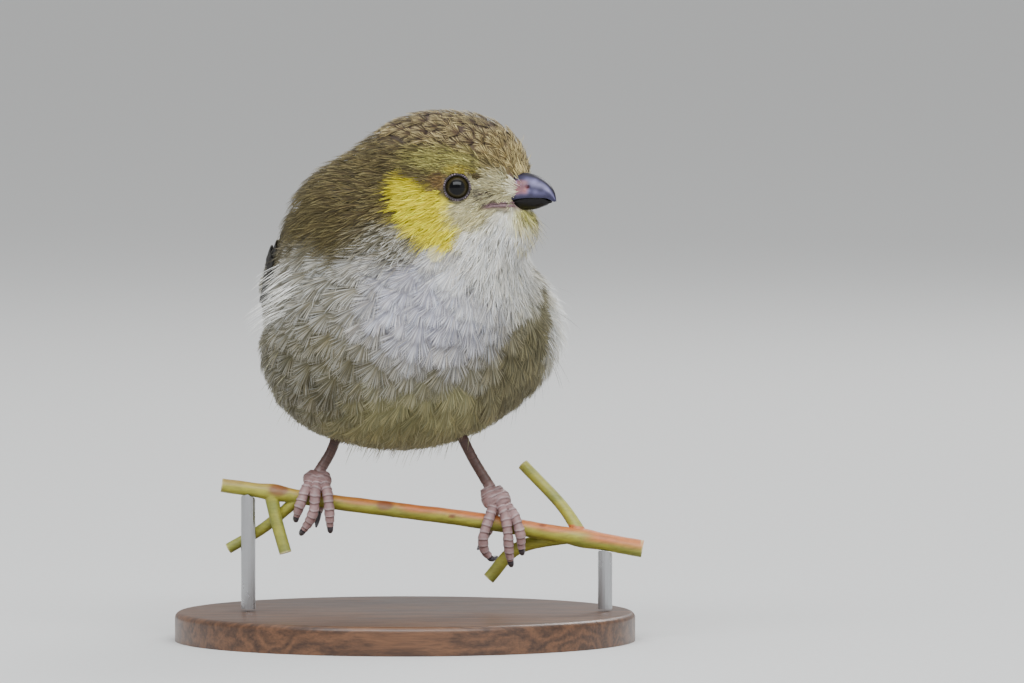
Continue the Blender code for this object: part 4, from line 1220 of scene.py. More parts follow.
def filament_mesh():
    """Single long hairs that break the outline of the coat."""
    places, faces, directions = ROOM["skin"]
    draw = np.random.default_rng(SEED + 5)
    clear = (eye_clearance(places) > HAIR_EYE_ROOM) & (bill_clearance(places) > HAIR_BILL_ROOM)
    clear &= mouth_clearance(places) > HAIR_MOUTH_ROOM
    lines, colours, spots, outward = [], [], [], []
    for axes, centre, reach, count, length, lift, colour, turn in FILAMENTS:
        near = np.linalg.norm(places - axes.to_world(centre), axis=1) < reach
        chosen = draw.choice(np.flatnonzero(near & clear), size=count)
        start = places[chosen] + draw.normal(0, 0.25, (count, 3))
        normals = outline_normal(start)
        flow = lie_direction(start, normals) * turn
        rise = np.clip(draw.normal(lift, 0.2, count), 0.05, 1.4)[:, None]
        heading = unit(flow + normals * rise + draw.normal(0, 0.12, (count, 3)))
        reach_out = length * draw.uniform(0.6, 1.15, count)[:, None]
        hair = [start]
        for step in range(1, FILAMENT_STATIONS):
            heading = unit(heading + flow * 0.08 + np.array([0, 0, -0.05]))
            hair.append(hair[-1] + heading * reach_out / (FILAMENT_STATIONS - 1))
        lines.append(np.stack(hair, axis=1))
        tint = COLOURS[colour] * np.exp(draw.normal(0, 0.2, (count, 1)))
        colours.append(np.repeat(tint[:, None], FILAMENT_STATIONS, axis=1))
        spots.append(unwrap(directions[chosen]))
        outward.append(np.repeat(normals[:, None], FILAMENT_STATIONS, axis=1))
    lines, colours = np.concatenate(lines), np.concatenate(colours)
    widths = draw.uniform(0.04, 0.075, len(lines))
    return ribbons(
        "coat_filaments", lines, np.concatenate(outward), widths, colours, np.concatenate(spots), draw
    )


# Wings

WING_AXIS_SLOPE = 0.13
# Behind the body the wing follows a narrowing form: how far forward, half width, height.
WING_CARRIER = (
    (-46.0, 2.6, 2.8),
    (-36.0, 5.6, 4.2),
    (-26.0, 9.4, 6.8),
    (-16.0, 13.2, 9.6),
    (-8.0, 13.0, 9.0),
)
# The smooth body of the wing: how far forward, and the angles of its lower and upper edge.
WING_CORE_EDGE = (
    (2.6, 15.0, 26.0),
    (0.0, 13.0, 36.0),
    (-8.0, 14.0, 56.0),
    (-18.0, 20.0, 68.0),
    (-27.0, 29.0, 60.0),
)
WING_CORE_LIFT = 0.15
# How deep the wing's front edge is tucked under the coat
WING_TUCK = 1.5
# Tiers of the wing from the lowest: count, root and tip of the first and of the last feather as
# (forward, angle round the body), width, height at root and tip, how round the tip is, the tints of
# the vane and of its edge, and how strongly the white spot at the tip shows.
WING_TIERS = (
    ("primary", 8, (-12, 19), (-42, 38), (-13, 32), (-31, 55),
     4.6, (0.1, 0.35), 0.08, "black", "olive_pale", 0.8),
    ("secondary", 7, (-9, 18), (-27, 23), (-9, 40), (-28, 47),
     4.8, (0.2, 0.5), 0.16, "black", "olive_pale", 0.9),
    ("tertial", 3, (-8, 43), (-25.5, 50), (-8, 58), (-20.5, 66),
     6.2, (0.45, 0.75), 0.18, "black", "moss", 1.0),
    ("primary_covert", 5, (-6, 17), (-15, 20), (-7, 26), (-16, 30),
     3.0, (0.35, 0.6), 0.2, "black", "olive_pale", 0.8),
    ("greater_covert", 9, (-2, 16), (-11.5, 19), (-4, 46), (-13, 58),
     3.9, (0.45, 0.75), 0.24, "black", "olive", 1.0),
    ("median_covert", 9, (1.0, 16), (-6.0, 17), (-1, 36), (-7.5, 46),
     3.6, (0.6, 0.9), 0.3, "black", "olive", 1.0),
)
VANE_ALONG = 18
VANE_ACROSS = 8
# How high the two edges of a vane stand, and how much its middle arches
VANE_TILT = (0.30, 0.02)
VANE_CAMBER = 0.14
# Height and half width of the ridge along its quill
VANE_QUILL = (0.06, 0.08)
# How strongly the paler edge of a vane shows
VANE_RIM = 0.7
# Half the length of a full white spot, in millimetres
SPOT_RADIUS = 0.72


def wing_points(side, forward, angle, height):
    """World places on a folded wing. Side is 1 for the right wing."""
    forward, angle, height = np.broadcast_arrays(
        np.asarray(forward, float), np.asarray(angle, float), np.asarray(height, float)
    )
    turn = np.radians(angle)
    zero = np.zeros_like(forward)
    axis = np.stack([forward, zero, np.minimum(forward, 0.0) * WING_AXIS_SLOPE], axis=1)
    outward = np.stack([zero, np.cos(turn), np.sin(turn)], axis=1)
    starts = BODY.to_world(axis * (1, side, 1))
    directions = outward * (1, side, 1) @ BODY.axes
    on_body = outline_reach(starts, directions, reach=40.0, steps=20)
    carrier = np.array(WING_CARRIER)
    width = np.interp(forward, carrier[:, 0], carrier[:, 1])
    rise = np.interp(forward, carrier[:, 0], carrier[:, 2])
    on_carrier = 1 / np.hypot(np.cos(turn) / width, np.sin(turn) / rise)
    base = np.maximum(on_body, on_carrier)
    return starts + directions * (base + height)[:, None], base


def vane_half_width(down, roundness):
    """Half the width of a vane as a share of the full one, from its root at 0 to its tip at 1."""
    body = 0.62 + 0.38 * smooth_share(down, 0.0, 0.4)
    tip = np.sqrt(np.maximum(0.0, 1 - (np.maximum(down - (1 - roundness), 0) / roundness) ** 2))
    return body * np.maximum(tip, 0.04)


def vane_grid():
    """A flat grid for one vane, with its shares across and down in a map of its own."""
    shape = bmesh.new()
    layer = shape.loops.layers.uv.new("vane")
    bmesh.ops.create_grid(shape, x_segments=VANE_ACROSS, y_segments=VANE_ALONG, size=1.0)
    for face in shape.faces:
        for loop in face.loops:
            loop[layer].uv = ((loop.vert.co.x + 1) / 2, (loop.vert.co.y + 1) / 2)
    across = np.array([vert.co.x for vert in shape.verts])
    down = np.array([(vert.co.y + 1) / 2 for vert in shape.verts])
    return shape, across, down


def vane_tints(across, down, vane, edge):
    """Tints of a vane: dark, with paler edges near its tip."""
    rim = smooth_share(np.abs(across), 0.72, 1.0) * smooth_share(down, 0.15, 0.7)
    return mixed(COLOURS[vane], COLOURS[edge], rim * VANE_RIM)


def add_vane(parts, places, across, down, shape, looks):
    place_vertices(shape, places)
    mesh = bpy.data.meshes.new("vane")
    shape.to_mesh(mesh)
    shape.free()
    *colours, spot = looks
    length = np.linalg.norm(places[down > 0.999].mean(axis=0) - places[down < 0.001].mean(axis=0))
    colour_vertices(mesh, vane_tints(across, down, *colours))
    value_vertices(mesh, np.full(len(across), spot * SPOT_RADIUS / length), "spot")
    parts.append(mesh)


def wing_vane(parts, side, root, tip, width, lift, roundness, looks):
    shape, across, down = vane_grid()
    forward = root[0] + (tip[0] - root[0]) * down
    angle = root[1] + (tip[1] - root[1]) * down
    _, radius = wing_points(side, forward, angle, 0.0)
    half = np.degrees(width / 2 * vane_half_width(down, roundness) / radius)
    tilt = VANE_TILT[1] + (VANE_TILT[0] - VANE_TILT[1]) * (1 - across) / 2
    height = lift[0] + (lift[1] - lift[0]) * down + tilt + VANE_CAMBER * (1 - across**2)
    height = height + VANE_QUILL[0] * bump_share(across, 0.0, VANE_QUILL[1])
    height = height - WING_TUCK * (1 - wing_on_top(forward, angle, side))
    places, _ = wing_points(side, forward, angle + half * across, height)
    add_vane(parts, places, across, down, shape, looks)


def wing_core(parts, side):
    """The smooth body of the wing under its feathers."""
    shape, across, down = vane_grid()
    front, back = WING_CORE_EDGE[0][0], WING_CORE_EDGE[-1][0]
    forward = front + (back - front) * down
    low, high = wing_edges(forward)
    rounding = np.sqrt(np.sin(math.pi * (0.08 + 0.84 * down)))
    angle = (low + high) / 2 + (high - low) / 2 * across * rounding
    height = WING_CORE_LIFT * (1 - across**4) - WING_TUCK * (1 - wing_on_top(forward, angle, side))
    places, _ = wing_points(side, forward, angle, height)
    add_vane(parts, places, across, down, shape, ("olive_dark", "olive_dark", 0.0))


def joined_vanes(parts, name):
    """One mesh of many vanes that keeps their tints and maps."""
    shape = gathered(parts)
    made = bpy.data.meshes.new(name)
    shape.to_mesh(made)
    shape.free()
    made.shade_smooth()
    return made


def wing_mesh(side, name):
    parts = []
    wing_core(parts, side)
    draw = np.random.default_rng(SEED + 11 + side)
    for _, count, root_a, tip_a, root_b, tip_b, width, lift, roundness, *looks in WING_TIERS:
        for step in np.linspace(0, 1, count):
            root = np.add(root_a, np.subtract(root_b, root_a) * step) + draw.normal(0, (0.15, 0.4))
            tip = np.add(tip_a, np.subtract(tip_b, tip_a) * step) + draw.normal(0, (0.25, 0.4))
            wing_vane(parts, side, root, tip, width * draw.uniform(0.94, 1.06), lift, roundness, looks)
    return joined_vanes(parts, name)


VANE_THICKNESS = 0.09


def thicken(piece):
    modifier = piece.modifiers.new("thickness", "SOLIDIFY")
    modifier.thickness = VANE_THICKNESS * MM
    modifier.offset = 0.0


@made_once
def vane_material():
    """Flight feathers: barbs that slant from the quill, and a white spot near the tip."""
    material, shader, wiring = new_material("flight_feather", 0.62, Specular_IOR_Level=0.2)
    place = wiring.node("ShaderNodeUVMap", uv_map="vane").outputs["UV"]
    split = wiring.node("ShaderNodeSeparateXYZ")
    wiring.link(place, split.inputs[0])
    across, down = split.outputs["X"], split.outputs["Y"]
    from_quill = wiring.maths("ABSOLUTE", wiring.maths("SUBTRACT", across, 0.5))
    slant = wiring.maths("MULTIPLY_ADD", from_quill, -0.45, down)
    waves = wiring.maths("SINE", wiring.maths("MULTIPLY", slant, 300.0))
    clumps = wiring.noise(place, 9.0, 3.0, 0.6)
    barbs = wiring.maths("MULTIPLY_ADD", waves, 0.5, clumps)
    spot = wiring.maths("MAXIMUM", wiring.attribute("spot", "Fac"), 0.0005)
    above_tip = wiring.maths("DIVIDE", wiring.maths("SUBTRACT", 1.0, down), spot)
    from_spot = wiring.maths("SUBTRACT", above_tip, 1.2)
    off_middle = wiring.maths("MULTIPLY", from_quill, 4.0)
    squares = [wiring.maths("POWER", value, 2.0) for value in (from_spot, off_middle)]
    ragged = wiring.maths("MULTIPLY_ADD", waves, 0.08, wiring.maths("ADD", *squares))
    mask = wiring.between(ragged, 0.65, 1.05, 1.0, 0.0)
    furrow = wiring.between(waves, -1.0, 1.0, 0.0, 0.35)
    shaded = wiring.blend(furrow, wiring.attribute("tint"), (0.10, 0.09, 0.07, 1))
    colour = wiring.blend(mask, shaded, (*COLOURS["white"], 1))
    add_mottle(wiring, shader, colour, 2.0, 0.15, 0.55)
    add_bump(wiring, shader, barbs, 0.6, 0.00006)
    return material


# Tail

TAIL_LENGTH = 25.0
TAIL_FEATHER_PAIRS = 6
TAIL_SPREAD = 0.85
TAIL_STEP_DOWN = 0.24
TAIL_STEP_SHORT = 0.35
TAIL_VANE_WIDTH = 4.4
TAIL_VANE_START = 1.5
TAIL_TIP_ROUNDNESS = 0.12
TAIL_LIFT = 0.25
TAIL_QUILL = (0.07, 0.07)


def tail_mesh():
    """Twelve tail feathers, the middle pair on top."""
    parts = []
    for rank in reversed(range(TAIL_FEATHER_PAIRS)):
        for side in (1, -1):
            shape, across, down = vane_grid()
            length = TAIL_LENGTH - TAIL_STEP_SHORT * rank
            low = -TAIL_STEP_DOWN * (rank + (0.5 if side < 0 else 0.0))
            forward = TAIL_VANE_START - (length + TAIL_VANE_START) * down
            shift = (0.5 + rank) * TAIL_SPREAD * side * (0.55 + 0.45 * down)
            half = TAIL_VANE_WIDTH / 2 * vane_half_width(down, TAIL_TIP_ROUNDNESS)
            up = low + VANE_CAMBER * (1 - across**2) + TAIL_LIFT
            up = up + TAIL_QUILL[0] * bump_share(across, 0.0, TAIL_QUILL[1])
            places = TAIL.to_world(np.stack([forward, shift + half * across, up], axis=1))
            add_vane(parts, places, across, down, shape, ("black", "olive", 0.8))
    return joined_vanes(parts, "tail_feathers")


# Eyes and lids

# Angles from the aim of the eye, in degrees
PUPIL_ANGLE = 31.0
IRIS_ANGLE = 56.0
CORNEA_ANGLE = 34.0
CORNEA_BULGE = 0.16
LID_RADIUS = 1.72
LID_OUT = 1.36
LID_HALF_WIDTH = 0.20
LID_HALF_HEIGHT = 0.27
LID_BEADS = 36
LID_STEPS = 228
LID_GLOW = (0.0006, 0.0004, 0.0003)


def aimed(shape, side, out=0.0):
    """Turns a shape's +Z to the eye's aim and sets it at the eye's centre, moved out along the aim."""
    centre, aim = eye_frame(side)
    turn = Vector((0, 0, 1)).rotation_difference(Vector(aim)).to_matrix().to_4x4()
    place = Matrix.Translation(Vector(centre + aim * out) * MM)
    bmesh.ops.transform(shape, matrix=place @ turn, verts=shape.verts[:])


def eye_mesh(side, name):
    """The ball of the eye, whose clear front stands a little proud over the iris."""
    shape = bmesh.new()
    bmesh.ops.create_uvsphere(shape, u_segments=64, v_segments=48, radius=EYE_RADIUS * MM)
    gaze = []
    for vert in shape.verts:
        angle = math.degrees(math.acos(max(-1, min(1, vert.co.z / (EYE_RADIUS * MM)))))
        gaze.append(angle)
        vert.co *= 1 + CORNEA_BULGE / EYE_RADIUS * math.exp(-((angle / CORNEA_ANGLE) ** 2)) - 0.03
    aimed(shape, side)
    mesh = mesh_from_bmesh(shape, name)
    value_vertices(mesh, gaze, "gaze")
    return mesh


@made_once
def eye_material():
    """Black pupil in an olive-brown iris, dark at its border, under a wet gloss."""
    material, shader, wiring = new_material(
        "eye_gloss", 0.3, Coat_Weight=1.0, Coat_Roughness=0.015, Coat_IOR=1.31, Specular_IOR_Level=0.0
    )
    gaze = wiring.attribute("gaze", "Fac")
    fibres = wiring.noise(wiring.object_place(), 5200.0, 4.0, 0.7)
    iris = wiring.blend(fibres, (0.010, 0.008, 0.003, 1), (0.044, 0.034, 0.012, 1))
    ring = wiring.between(gaze, IRIS_ANGLE - 4, IRIS_ANGLE, 0.0, 1.0)
    iris = wiring.blend(ring, iris, (0.006, 0.005, 0.003, 1))
    inner = wiring.between(gaze, PUPIL_ANGLE - 3, PUPIL_ANGLE + 3, 0.0, 1.0)
    colour = wiring.blend(inner, (0.0015, 0.0015, 0.002, 1), iris)
    rim = wiring.between(gaze, IRIS_ANGLE, IRIS_ANGLE + 5, 0.0, 1.0)
    colour = wiring.blend(rim, colour, (0.012, 0.010, 0.010, 1))
    wiring.link(colour, shader.inputs["Base Color"])
    return material


def lid_mesh(side, name):
    """Bare, beaded lids that ring the eye, dark along the inside."""
    shape = bmesh.new()
    bmesh.ops.create_circle(shape, segments=14, radius=1.0)
    for vert in shape.verts:
        vert.co = (LID_RADIUS + LID_HALF_WIDTH * vert.co.x, 0, LID_HALF_HEIGHT * vert.co.y)
    bmesh.ops.spin(
        shape,
        geom=shape.verts[:] + shape.edges[:],
        axis=(0, 0, 1),
        cent=(0, 0, 0),
        steps=LID_STEPS,
        angle=math.tau,
        use_merge=True,
    )
    bmesh.ops.remove_doubles(shape, verts=shape.verts[:], dist=1e-5)
    beads = []
    for vert in shape.verts:
        around = math.atan2(vert.co.y, vert.co.x)
        out = (math.hypot(vert.co.x, vert.co.y) - LID_RADIUS) / LID_HALF_WIDTH
        # The bead value lifts each bead and sets its tint: low values, between the beads and along the
        # inside, take the dark tint, painted shade in the gaps between the beads
        bead = (0.5 + 0.5 * math.cos(around * LID_BEADS + 1.2 * math.sin(around * 5))) ** 0.7
        bead *= max(0.0, min(1.0, out + 0.7)) * (0.8 + 0.2 * math.sin(around * 7 + 1.0))
        beads.append(bead)
        rise = 0.09 * bead + 0.03 * math.sin(around * 3 + 0.7)
        vert.co.z += rise
        vert.co *= MM
    aimed(shape, side, LID_OUT)
    mesh = mesh_from_bmesh(shape, name)
    value_vertices(mesh, beads, "bead")
    return mesh


@made_once
def lid_material():
    """Mauve-grey beads with dark lines between them, painted shade in the gaps."""
    material, shader, wiring = new_material("lid_skin", 0.6)
    add_glow(shader, 0.15, LID_GLOW)
    grains = wiring.noise(wiring.object_place(), 3800.0, 3.0, 0.6)
    colour = wiring.blend(wiring.between(grains, 0.35, 0.65), opaque(104, 88, 100), opaque(158, 138, 152))
    bead = wiring.between(wiring.attribute("bead", "Fac"), 0.4, 0.9)
    # Dark where the bead value is low: painted shade in the gaps between the beads, and dark along the
    # inside of the lid
    colour = wiring.blend(bead, opaque(30, 22, 24), colour)
    add_mottle(wiring, shader, colour, 0.8, 0.15, 0.6)
    add_bump(wiring, shader, grains, 0.5, 0.00005)
    return material


# Bill

# Near the solids' bill: share of the way from root to tip, height of the ridge, of the cutting edge
# and of the lower outline, and share of the full width. The lower half narrows towards its root.
BILL_STATIONS = (
    (0.00, 0.25, -3.80, -4.10, 1.00),
    (0.22, 0.42, -3.42, -4.48, 1.00),
    (0.40, 0.40, -3.12, -4.66, 0.92),
    (0.58, 0.12, -3.00, -4.55, 0.79),
    (0.74, -0.42, -2.98, -4.18, 0.62),
    (0.87, -1.20, -3.05, -3.85, 0.44),
    (0.95, -2.05, -3.35, -3.62, 0.28),
    (1.00, -3.10, -3.75, -3.78, 0.10),
)
# The lower half ends short of the upper one, at a cutting edge, lower outline and share of the width
LOWER_BILL_END = 0.92
LOWER_NARROWER = 0.9
LOWER_TIP = (-3.45, -3.70, 0.15)
# Shares of the length over which root and tip are rounded off
BILL_ROUNDING = (0.02, 0.035)
# Half outlines across the bill: share of the half width, and share of the height. The cut side takes
# this much of a turn besides, and is dished by this share of the height.
SECTION_SAMPLES = 180
SECTION_CUT = 0.3
SECTION_DISH = 0.08
UPPER_SECTION = (
    (-0.97, 0.0), (-1.0, 0.28), (-0.80, 0.64), (-0.42, 0.93), (0.0, 1.0),
    (0.42, 0.93), (0.80, 0.64), (1.0, 0.28), (0.97, 0.0),
)
LOWER_SECTION = (
    (0.95, 1.0), (0.98, 0.72), (0.70, 0.25), (0.30, 0.0), (0.0, -0.02),
    (-0.30, 0.0), (-0.70, 0.25), (-0.98, 0.72), (-0.95, 1.0),
)
# Share of the way to the tip, share of the half width, and height
NOSTRIL = (0.54, 0.84, -1.55)
BILL_PLATE = (50, 48, 70)
BILL_RIDGE = (34, 31, 42)
# Tone of the painted highlights on the upper bill: two pale bands and small glints that stand for the
# reflection of the light
BILL_HIGHLIGHT = (122, 117, 156)
BILL_FLESH = (146, 98, 98)
BILL_DARK = (15, 12, 13)
BILL_MAUVE = (104, 78, 84)


def bill_column(shares, column):
    """One column of the bill's stations, smoothed, at shares of the way to the tip."""
    table = np.array(BILL_STATIONS)
    dense = smooth_path(np.stack([table[:, 0] * 8, table[:, column], table[:, column]], axis=1), 160)
    return np.interp(shares * 8, dense[:, 0], dense[:, 1])


def bill_form(section, lower, name):
    """A closed half of the bill, from a sphere laid along it with its poles at root and tip."""
    shape = bmesh.new()
    bmesh.ops.create_uvsphere(shape, u_segments=56, v_segments=72, radius=1.0)
    ball = np.array([vert.co[:] for vert in shape.verts])
    share = np.arccos(np.clip(ball[:, 2], -1, 1)) / math.pi
    curve = smooth_path([(x, y, 0.0) for x, y in section], SECTION_SAMPLES)
    around = np.linspace(0, 1, SECTION_SAMPLES)
    turn = (np.arctan2(ball[:, 0], -ball[:, 1]) / (2 * math.pi) + 0.5) * (1 + SECTION_CUT)
    closing = np.clip((turn - 1) / SECTION_CUT, 0, 1)
    across = np.interp(turn, around, curve[:, 0])
    height = np.interp(turn, around, curve[:, 1])
    across = across + (curve[0, 0] - curve[-1, 0]) * closing
    dish = SECTION_DISH * np.sin(math.pi * closing) * (-1 if lower else 1)
    ends = 1.0
    for from_end, rounding in zip((share, 1 - share), BILL_ROUNDING):
        ends = ends * np.sqrt(np.clip(1 - (np.clip(rounding - from_end, 0, 1) / rounding) ** 2, 0, 1))
    reach = share * (LOWER_BILL_END if lower else 1.0)
    half = BILL_HALF_WIDTH * bill_column(reach, 4)
    if lower:
        high = bill_column(reach, 2)
        low = bill_column(reach, 3)
        half = half * LOWER_NARROWER
        tip = smooth_share(share, 0.86, 1.0)
        high, low = high + (LOWER_TIP[0] - high) * tip, low + (LOWER_TIP[1] - low) * tip
        half = half + (BILL_HALF_WIDTH * LOWER_TIP[2] - half) * tip
    else:
        high, low = bill_column(reach, 1), bill_column(reach, 2)
    middle = (high + low) / 2
    up = low + (high - low) * (height + dish)
    places = np.stack(
        [BILL_ROOT + reach * (BILL_TIP - BILL_ROOT), half * across * ends, middle + (up - middle) * ends],
        axis=1,
    )
    tint = bill_tints(places, share, height, lower)
    if not lower:
        places, tint = add_nostrils(places, tint)
    place_vertices(shape, HEAD.to_world(places))
    mesh = mesh_from_bmesh(shape, name, 50.0)
    colour_vertices(mesh, tint)
    return mesh


def bill_tints(places, share, height, lower):
    """Slate with a dark ridge, two paler bands and small glints that are painted highlights, a flesh-brown
    root and dark below.
    """
    plate, ridge, highlight_tone, flesh = tones(BILL_PLATE, BILL_RIDGE, BILL_HIGHLIGHT, BILL_FLESH)
    grain = wander(places, 1.2, SEED + 3)
    fine = wander(places, 0.45, SEED + 4)
    if lower:
        tint = mixed(*tones(BILL_DARK, BILL_MAUVE), smooth_share(-share, -0.34, -0.16) * 0.8)
        return tint * (1 + 0.15 * grain[:, None])
    # Painted highlights: two bands and small glints of the highlight tone, the light's reflection on the
    # upper bill
    upper_highlight = bump_share(height, 0.70, 0.15) * smooth_share(share, 0.36, 0.62)
    side_highlight = bump_share(height, 0.22 + 0.10 * share, 0.13) * smooth_share(share, 0.15, 0.45)
    side_highlight = side_highlight * smooth_share(-share, -0.92, -0.6)
    root = smooth_share(-share, -0.60, -0.50) * smooth_share(-np.abs(height - 0.45), -0.34, -0.16)
    glint = smooth_share(fine, 0.5, 0.9) * bump_share(height, 0.62, 0.12) * smooth_share(-share, -0.5, -0.3)
    tint = mixed(plate, highlight_tone, upper_highlight * (0.75 + 0.25 * grain))
    tint = mixed(tint, highlight_tone, side_highlight * (0.45 + 0.3 * grain))
    tint = mixed(tint, ridge, smooth_share(height, 0.86, 0.97))
    tint = mixed(tint, flesh, root * np.clip(0.75 + 0.3 * grain, 0, 1))
    tint = mixed(tint, highlight_tone * 1.6, glint * 0.6)
    return np.clip(tint * (1 + 0.10 * grain[:, None]), DARKEST, 1)


def add_nostrils(places, tint):
    """Presses a small pit into each side, ringed by a low rim, and darkens the pit towards red: partly the
    nostril's own colour, partly painted shade of its hollow.
    """
    share, side_share, up = NOSTRIL
    centre = np.array([BILL_ROOT + share * (BILL_TIP - BILL_ROOT), BILL_HALF_WIDTH * side_share, up])
    away = (places * (1, 0, 1) - centre * (1, 0, 1)) / (0.36, 1, 0.2)
    spread = np.linalg.norm(away, axis=1)
    pit = np.exp(-(spread**2) * 1.4)
    rim = 0.05 * bump_share(spread, 1.5, 0.5)
    places = places.copy()
    places[:, 1] -= np.sign(places[:, 1]) * (0.42 * pit - rim) * (np.abs(places[:, 1]) > 0.5)
    # Darker towards red in the pit: partly the nostril's own colour, partly painted shade of its hollow
    return places, tint * (1 - np.outer(pit * (np.abs(places[:, 1]) > 0.4), (0.7, 0.85, 0.85)))


@made_once
def horn_material():
    """Glossy horn with fine growth lines, coloured by the tint of each part."""
    material, shader, wiring = new_material(
        "horn_gloss", 0.38, Coat_Weight=0.12, Coat_Roughness=0.15, Specular_IOR_Level=0.18
    )
    add_mottle(wiring, shader, wiring.attribute("tint"), 0.7, 0.3, 0.4)
    lines = wiring.noise(wiring.object_place(), 2600.0, 4.0, 0.65)
    add_bump(wiring, shader, lines, 0.35, 0.00005)
    return material


# Line of the mouth behind the bill, as places in the head's own forward, side and up
MOUTH_LINE = (
    (12.6, 2.3, -3.64), (11.8, 3.1, -3.72), (10.7, 4.0, -3.80), (9.7, 4.8, -3.95), (8.8, 5.2, -4.2),
)
# The two lips: how far above the line, radius at the bill and at the corner
MOUTH_LIPS = ((0.20, 0.18, 0.09), (-0.36, 0.32, 0.12))
MOUTH_SAMPLES = 30
# Level below which feathers come closer to the mouth, and by how much
MOUTH_LEVEL = -3.6
MOUTH_CLOSER = 0.45


def gape_mesh():
    """The bare edge of the mouth on each side, from the bill's root to its corner."""
    strips = []
    for side in (1, -1):
        for rise, wide, narrow in MOUTH_LIPS:
            share = np.linspace(0, 1, MOUTH_SAMPLES)
            line = smooth_path(MOUTH_LINE, MOUTH_SAMPLES) * (1, side, 1)
            line[:, 2] += rise * (1 - 0.6 * share)
            places = HEAD.to_world(line)
            rows, _ = plumage(places)
            places = settle(places, np.minimum(rows[:, DEPTH], 0.7) - 0.05, rounds=5)
            radii = wide + (narrow - wide) * share
            radii = radii * np.sqrt(np.clip(1 - np.clip(np.abs(share - 0.5) * 2.0, 0, 0.995) ** 6, 0, 1))
            strips.append(tube(smooth_path(places, MOUTH_SAMPLES), radii, "gape", 4))
    return mesh_from_bmesh(gathered(strips), "gape")


def mouth_clearance(points):
    """How far points are from the bare edge of the mouth, which is deeper near the bill."""
    line = smooth_path(MOUTH_LINE, MOUTH_SAMPLES)
    local = HEAD.to_local(points)
    local[:, 1] = np.abs(local[:, 1])
    gap = np.linalg.norm(local[:, None] - line[None], axis=2).min(axis=1)
    below = smooth_share(MOUTH_LEVEL - local[:, 2], -0.2, 0.5)
    return gap - MOUTH_CLOSER * below * smooth_share(local[:, 0], 8.8, 12.0)


@made_once
def skin_material():
    """Bare or hidden skin: the tints of the plumage over it, soft and matt."""
    material, shader, wiring = new_material("plumage_skin", 0.85)
    add_mottle(wiring, shader, wiring.attribute("tint"), 1.5, 0.2, 0.85)
    fibres = wiring.noise(wiring.object_place(), 2400.0, 4.0, 0.7)
    add_bump(wiring, shader, fibres, 0.6, 0.0002)
    return material


@made_once
def mouth_material():
    """Bare skin of the mouth, finely grained in two tones."""
    material, shader, wiring = new_material("mouth_skin", 0.5, Coat_Weight=0.1, Coat_Roughness=0.35)
    add_glow(shader, 0.12)
    grains = wiring.noise(wiring.object_place(), 3000.0, 3.0, 0.6)
    colour = wiring.blend(wiring.between(grains, 0.3, 0.7), opaque(88, 62, 66), opaque(138, 108, 112))
    add_mottle(wiring, shader, colour, 0.9, 0.12, 0.5)
    add_bump(wiring, shader, grains, 0.4, 0.00005)
    return material


# Legs, feet and claws, on the solids' own lines

# Places round the twig where a foot grips it, as (along, out, up), and the way that each claw bends
FEET = {
    "right": {
        "grip": -12.15,
        "leg": ((3.4, -1.2, 11.5), (2.0, -0.9, 7.0), (0.35, -0.4, 4.1)),
        "instep": ((0.30, -0.35, 3.8), (0.0, 0.0, 2.9), (-0.1, 0.5, 2.35)),
        "toes": {
            "outer": ((-0.9, 0.2, 2.6), (-1.7, 1.6, 1.35), (-2.4, 2.1, -0.6), (-2.9, 1.5, -2.2)),
            "middle": (
                (0.0, 0.4, 2.6), (-0.3, 1.9, 0.9), (-0.5, 2.15, -1.3), (-1.1, 1.75, -2.9), (-1.9, 1.2, -4.1),
            ),
            "inner": ((0.9, 0.3, 2.5), (1.4, 1.85, 1.0), (1.65, 2.15, -1.2), (1.75, 1.55, -3.6)),
            "hind": ((0.1, -0.4, 2.7), (0.4, -1.95, 1.2), (0.3, -2.1, -0.6), (0.1, -1.35, -1.9)),
        },
        "claws": {
            "outer": (0.15, -1.25, -0.2),
            "middle": (-0.3, -1.5, -0.5),
            "inner": (0.0, -1.5, -0.5),
            "hind": (-0.2, 1.2, -1.3),
        },
    },
    "left": {
        "grip": 13.2,
        "leg": ((-6.3, -1.0, 14.2), (-3.9, -0.8, 9.3), (-1.5, -0.35, 5.3)),
        "instep": ((-1.35, -0.3, 5.0), (-0.7, 0.0, 3.7), (0.0, 0.5, 2.6)),
        "toes": {
            "outer": ((0.8, 0.3, 2.7), (2.0, 1.75, 1.2), (2.75, 2.15, -1.0), (3.0, 1.55, -3.3)),
            "middle": (
                (0.1, 0.5, 2.7), (0.8, 2.0, 0.9), (1.1, 2.25, -1.4), (1.2, 1.9, -3.2), (1.45, 1.3, -5.0),
            ),
            "inner": (
                (-0.9, 0.4, 2.7), (-1.5, 1.9, 0.9), (-2.3, 2.2, -1.5), (-2.2, 1.65, -3.4), (-1.5, 1.0, -4.5),
            ),
            "hind": ((-0.3, -0.3, 2.9), (-0.9, -1.95, 1.3), (-1.5, -2.15, -0.6), (-2.1, -1.45, -1.95)),
        },
        "claws": {
            "outer": (0.1, -1.5, -0.4),
            "middle": (0.1, -1.5, -0.4),
            "inner": (1.2, -1.0, 0.75),
            "hind": (-0.7, 1.2, -0.9),
        },
    },
}
INSTEP_RADII = (0.9, 1.15, 1.4, 1.4, 1.05)
INSTEP_SPREAD = 0.6
TARSUS_RADIUS = 0.76
TOE_RADIUS = 0.72
CLAW_RADIUS = 0.46
CLAW_START = 0.1
TOE_SWELLS = (1.15, 1.0, 1.05, 0.92, 1.02, 0.9, 0.68)
LEG_SWELLS = (1.1, 1.0, 0.96, 0.94, 0.96, 1.05, 1.25)
CLAW_SWELLS = (1.0, 0.98, 0.9, 0.76, 0.56, 0.3)
